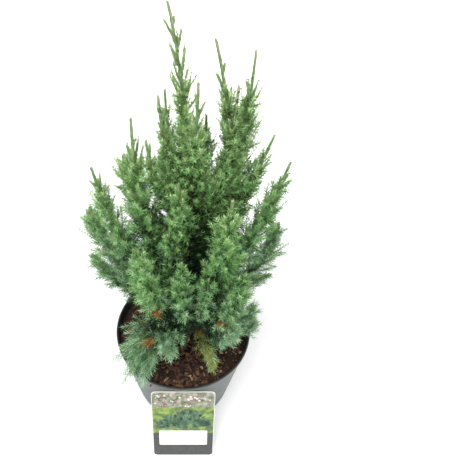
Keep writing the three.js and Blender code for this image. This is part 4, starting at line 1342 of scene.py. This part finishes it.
draw = np.random.default_rng(23)
leaves = []
for cx, cy, spread in CLUMPS:
    for _ in range(int(spread * LEAVES_PER_MM)):
        a, s = draw.uniform(-1.9, 1.9), math.sqrt(draw.uniform(0, 1))
        x = min(max(cx + spread * s * math.sin(a), LEAF_MARGIN - half), half - LEAF_MARGIN)
        leaves.append(leaf(x, cy + spread * s * math.cos(a), draw.uniform(6, 10), draw.uniform(2.2, 3.4),
                           math.pi / 2 - a + draw.normal(0, 0.3)))
printed("card_dark_leaves", leaves[::2], 3, card_print("card_leaf_print", "#22402F", "#35583F", 6))
printed("card_light_leaves", leaves[1::2], 4, card_print("card_leaf_tint", "#3C6147", "#527A57", 6))
dots = [arc((draw.uniform(-half + 5, half - 5), draw.uniform(SKY_FROM, CARD_LENGTH - 6)),
            draw.uniform(0.8, 1.9), 0, 330, 12) for _ in range(DOTS)]
for colour, ink, some in (("white", "#CFC8C2", dots[:34]), ("pink", "#9C6370", dots[34:62]),
                          ("green", "#41592C", dots[62:])):
    printed(f"card_{colour}_dots", some, 5, new_material(f"card_{colour}_ink", ink, 0.4, 0.5)[0])

# %% [markdown]
# The studio
#
# The plant was taken on a white ground under broad soft light, from above. The camera was worked out
# from the ellipse of the pot's rim and foot and from the card: a 50 mm lens on a 36 mm sensor, looking
# down by 50.55 degrees, with the plant left of the middle, which is the lens shift. One large soft light
# gives the weak shadows, a second fills them, and a third whitens the ground behind.

# %% Floor and light
FLOOR_HALF, AMBIENT = 4.0, 0.55
floor_mesh = bpy.data.meshes.new("floor")
corners = [(-1, -1), (1, -1), (1, 1), (-1, 1)]
floor_mesh.from_pydata([(x * FLOOR_HALF, y * FLOOR_HALF, 0) for x, y in corners], [], [(0, 1, 2, 3)])
floor = bpy.data.objects.new("floor", floor_mesh)
bpy.context.scene.collection.objects.link(floor)
floor_mesh.materials.append(new_material("white_paper_ground", "#FBFBFB", 0.9, 0.1)[0])
floor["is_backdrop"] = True


def soft_light(name, place, target, size, watts, spread=180):
    """A square area light that faces a target, with its beam's opening in degrees."""
    data = bpy.data.lights.new(name, "AREA")
    data.size, data.energy, data.spread = size, watts, math.radians(spread)
    lamp = bpy.data.objects.new(name, data)
    bpy.context.scene.collection.objects.link(lamp)
    lamp.location = place
    direction = np.array(target) - np.array(place)
    lamp.rotation_euler = (math.acos(-direction[2] / np.linalg.norm(direction)), 0,
                           math.atan2(direction[1], direction[0]) - math.pi / 2)
    return lamp


soft_light("key_softbox", (-0.55, -0.8, 2.0), (0, 0, 0.3), 1.6, 56)
soft_light("fill_softbox", (1.1, -0.9, 1.5), (0, 0, 0.3), 1.5, 18)
soft_light("ground_softbox", (0, 2.0, 2.2), (0, 2.2, 0), 2.6, 110, 50)
world = bpy.data.worlds.new("studio")
bpy.context.scene.world = world
world.use_nodes = True
world.node_tree.nodes["Background"].inputs["Color"].default_value = (1, 1, 1, 1)
world.node_tree.nodes["Background"].inputs["Strength"].default_value = AMBIENT
print("floor, three soft lights and an even white sky")

# %% [markdown]
# The pot's axis falls on column 184.6 of the 470 that the picture has. Shifting the lens puts it there
# without turning the camera, so upright lines still meet where they do in the photo.

# %% Camera
IMAGE_SIDE, AXIS_COLUMN, LENS, SENSOR, LOOK_DOWN = 470, 184.6, 50, 36, 50.55
camera_data = bpy.data.cameras.new("camera")
camera_data.lens, camera_data.sensor_width = LENS, SENSOR
camera_data.shift_x = (IMAGE_SIDE / 2 - AXIS_COLUMN) / IMAGE_SIDE
camera = bpy.data.objects.new("camera", camera_data)
bpy.context.scene.collection.objects.link(camera)
camera.location = (0.002, -0.4894, 0.9541)
camera.rotation_euler = (math.radians(90 - LOOK_DOWN), 0, 0)
bpy.context.scene.camera = camera
bpy.context.scene.view_settings.view_transform = "Standard"
print("the lens is shifted by", round(camera_data.shift_x, 3), "of the picture's width")

# %% Measure and finish
box = [[float(v) for v in corner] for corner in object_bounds()]
print("the dressed plant's box in metres:", box)
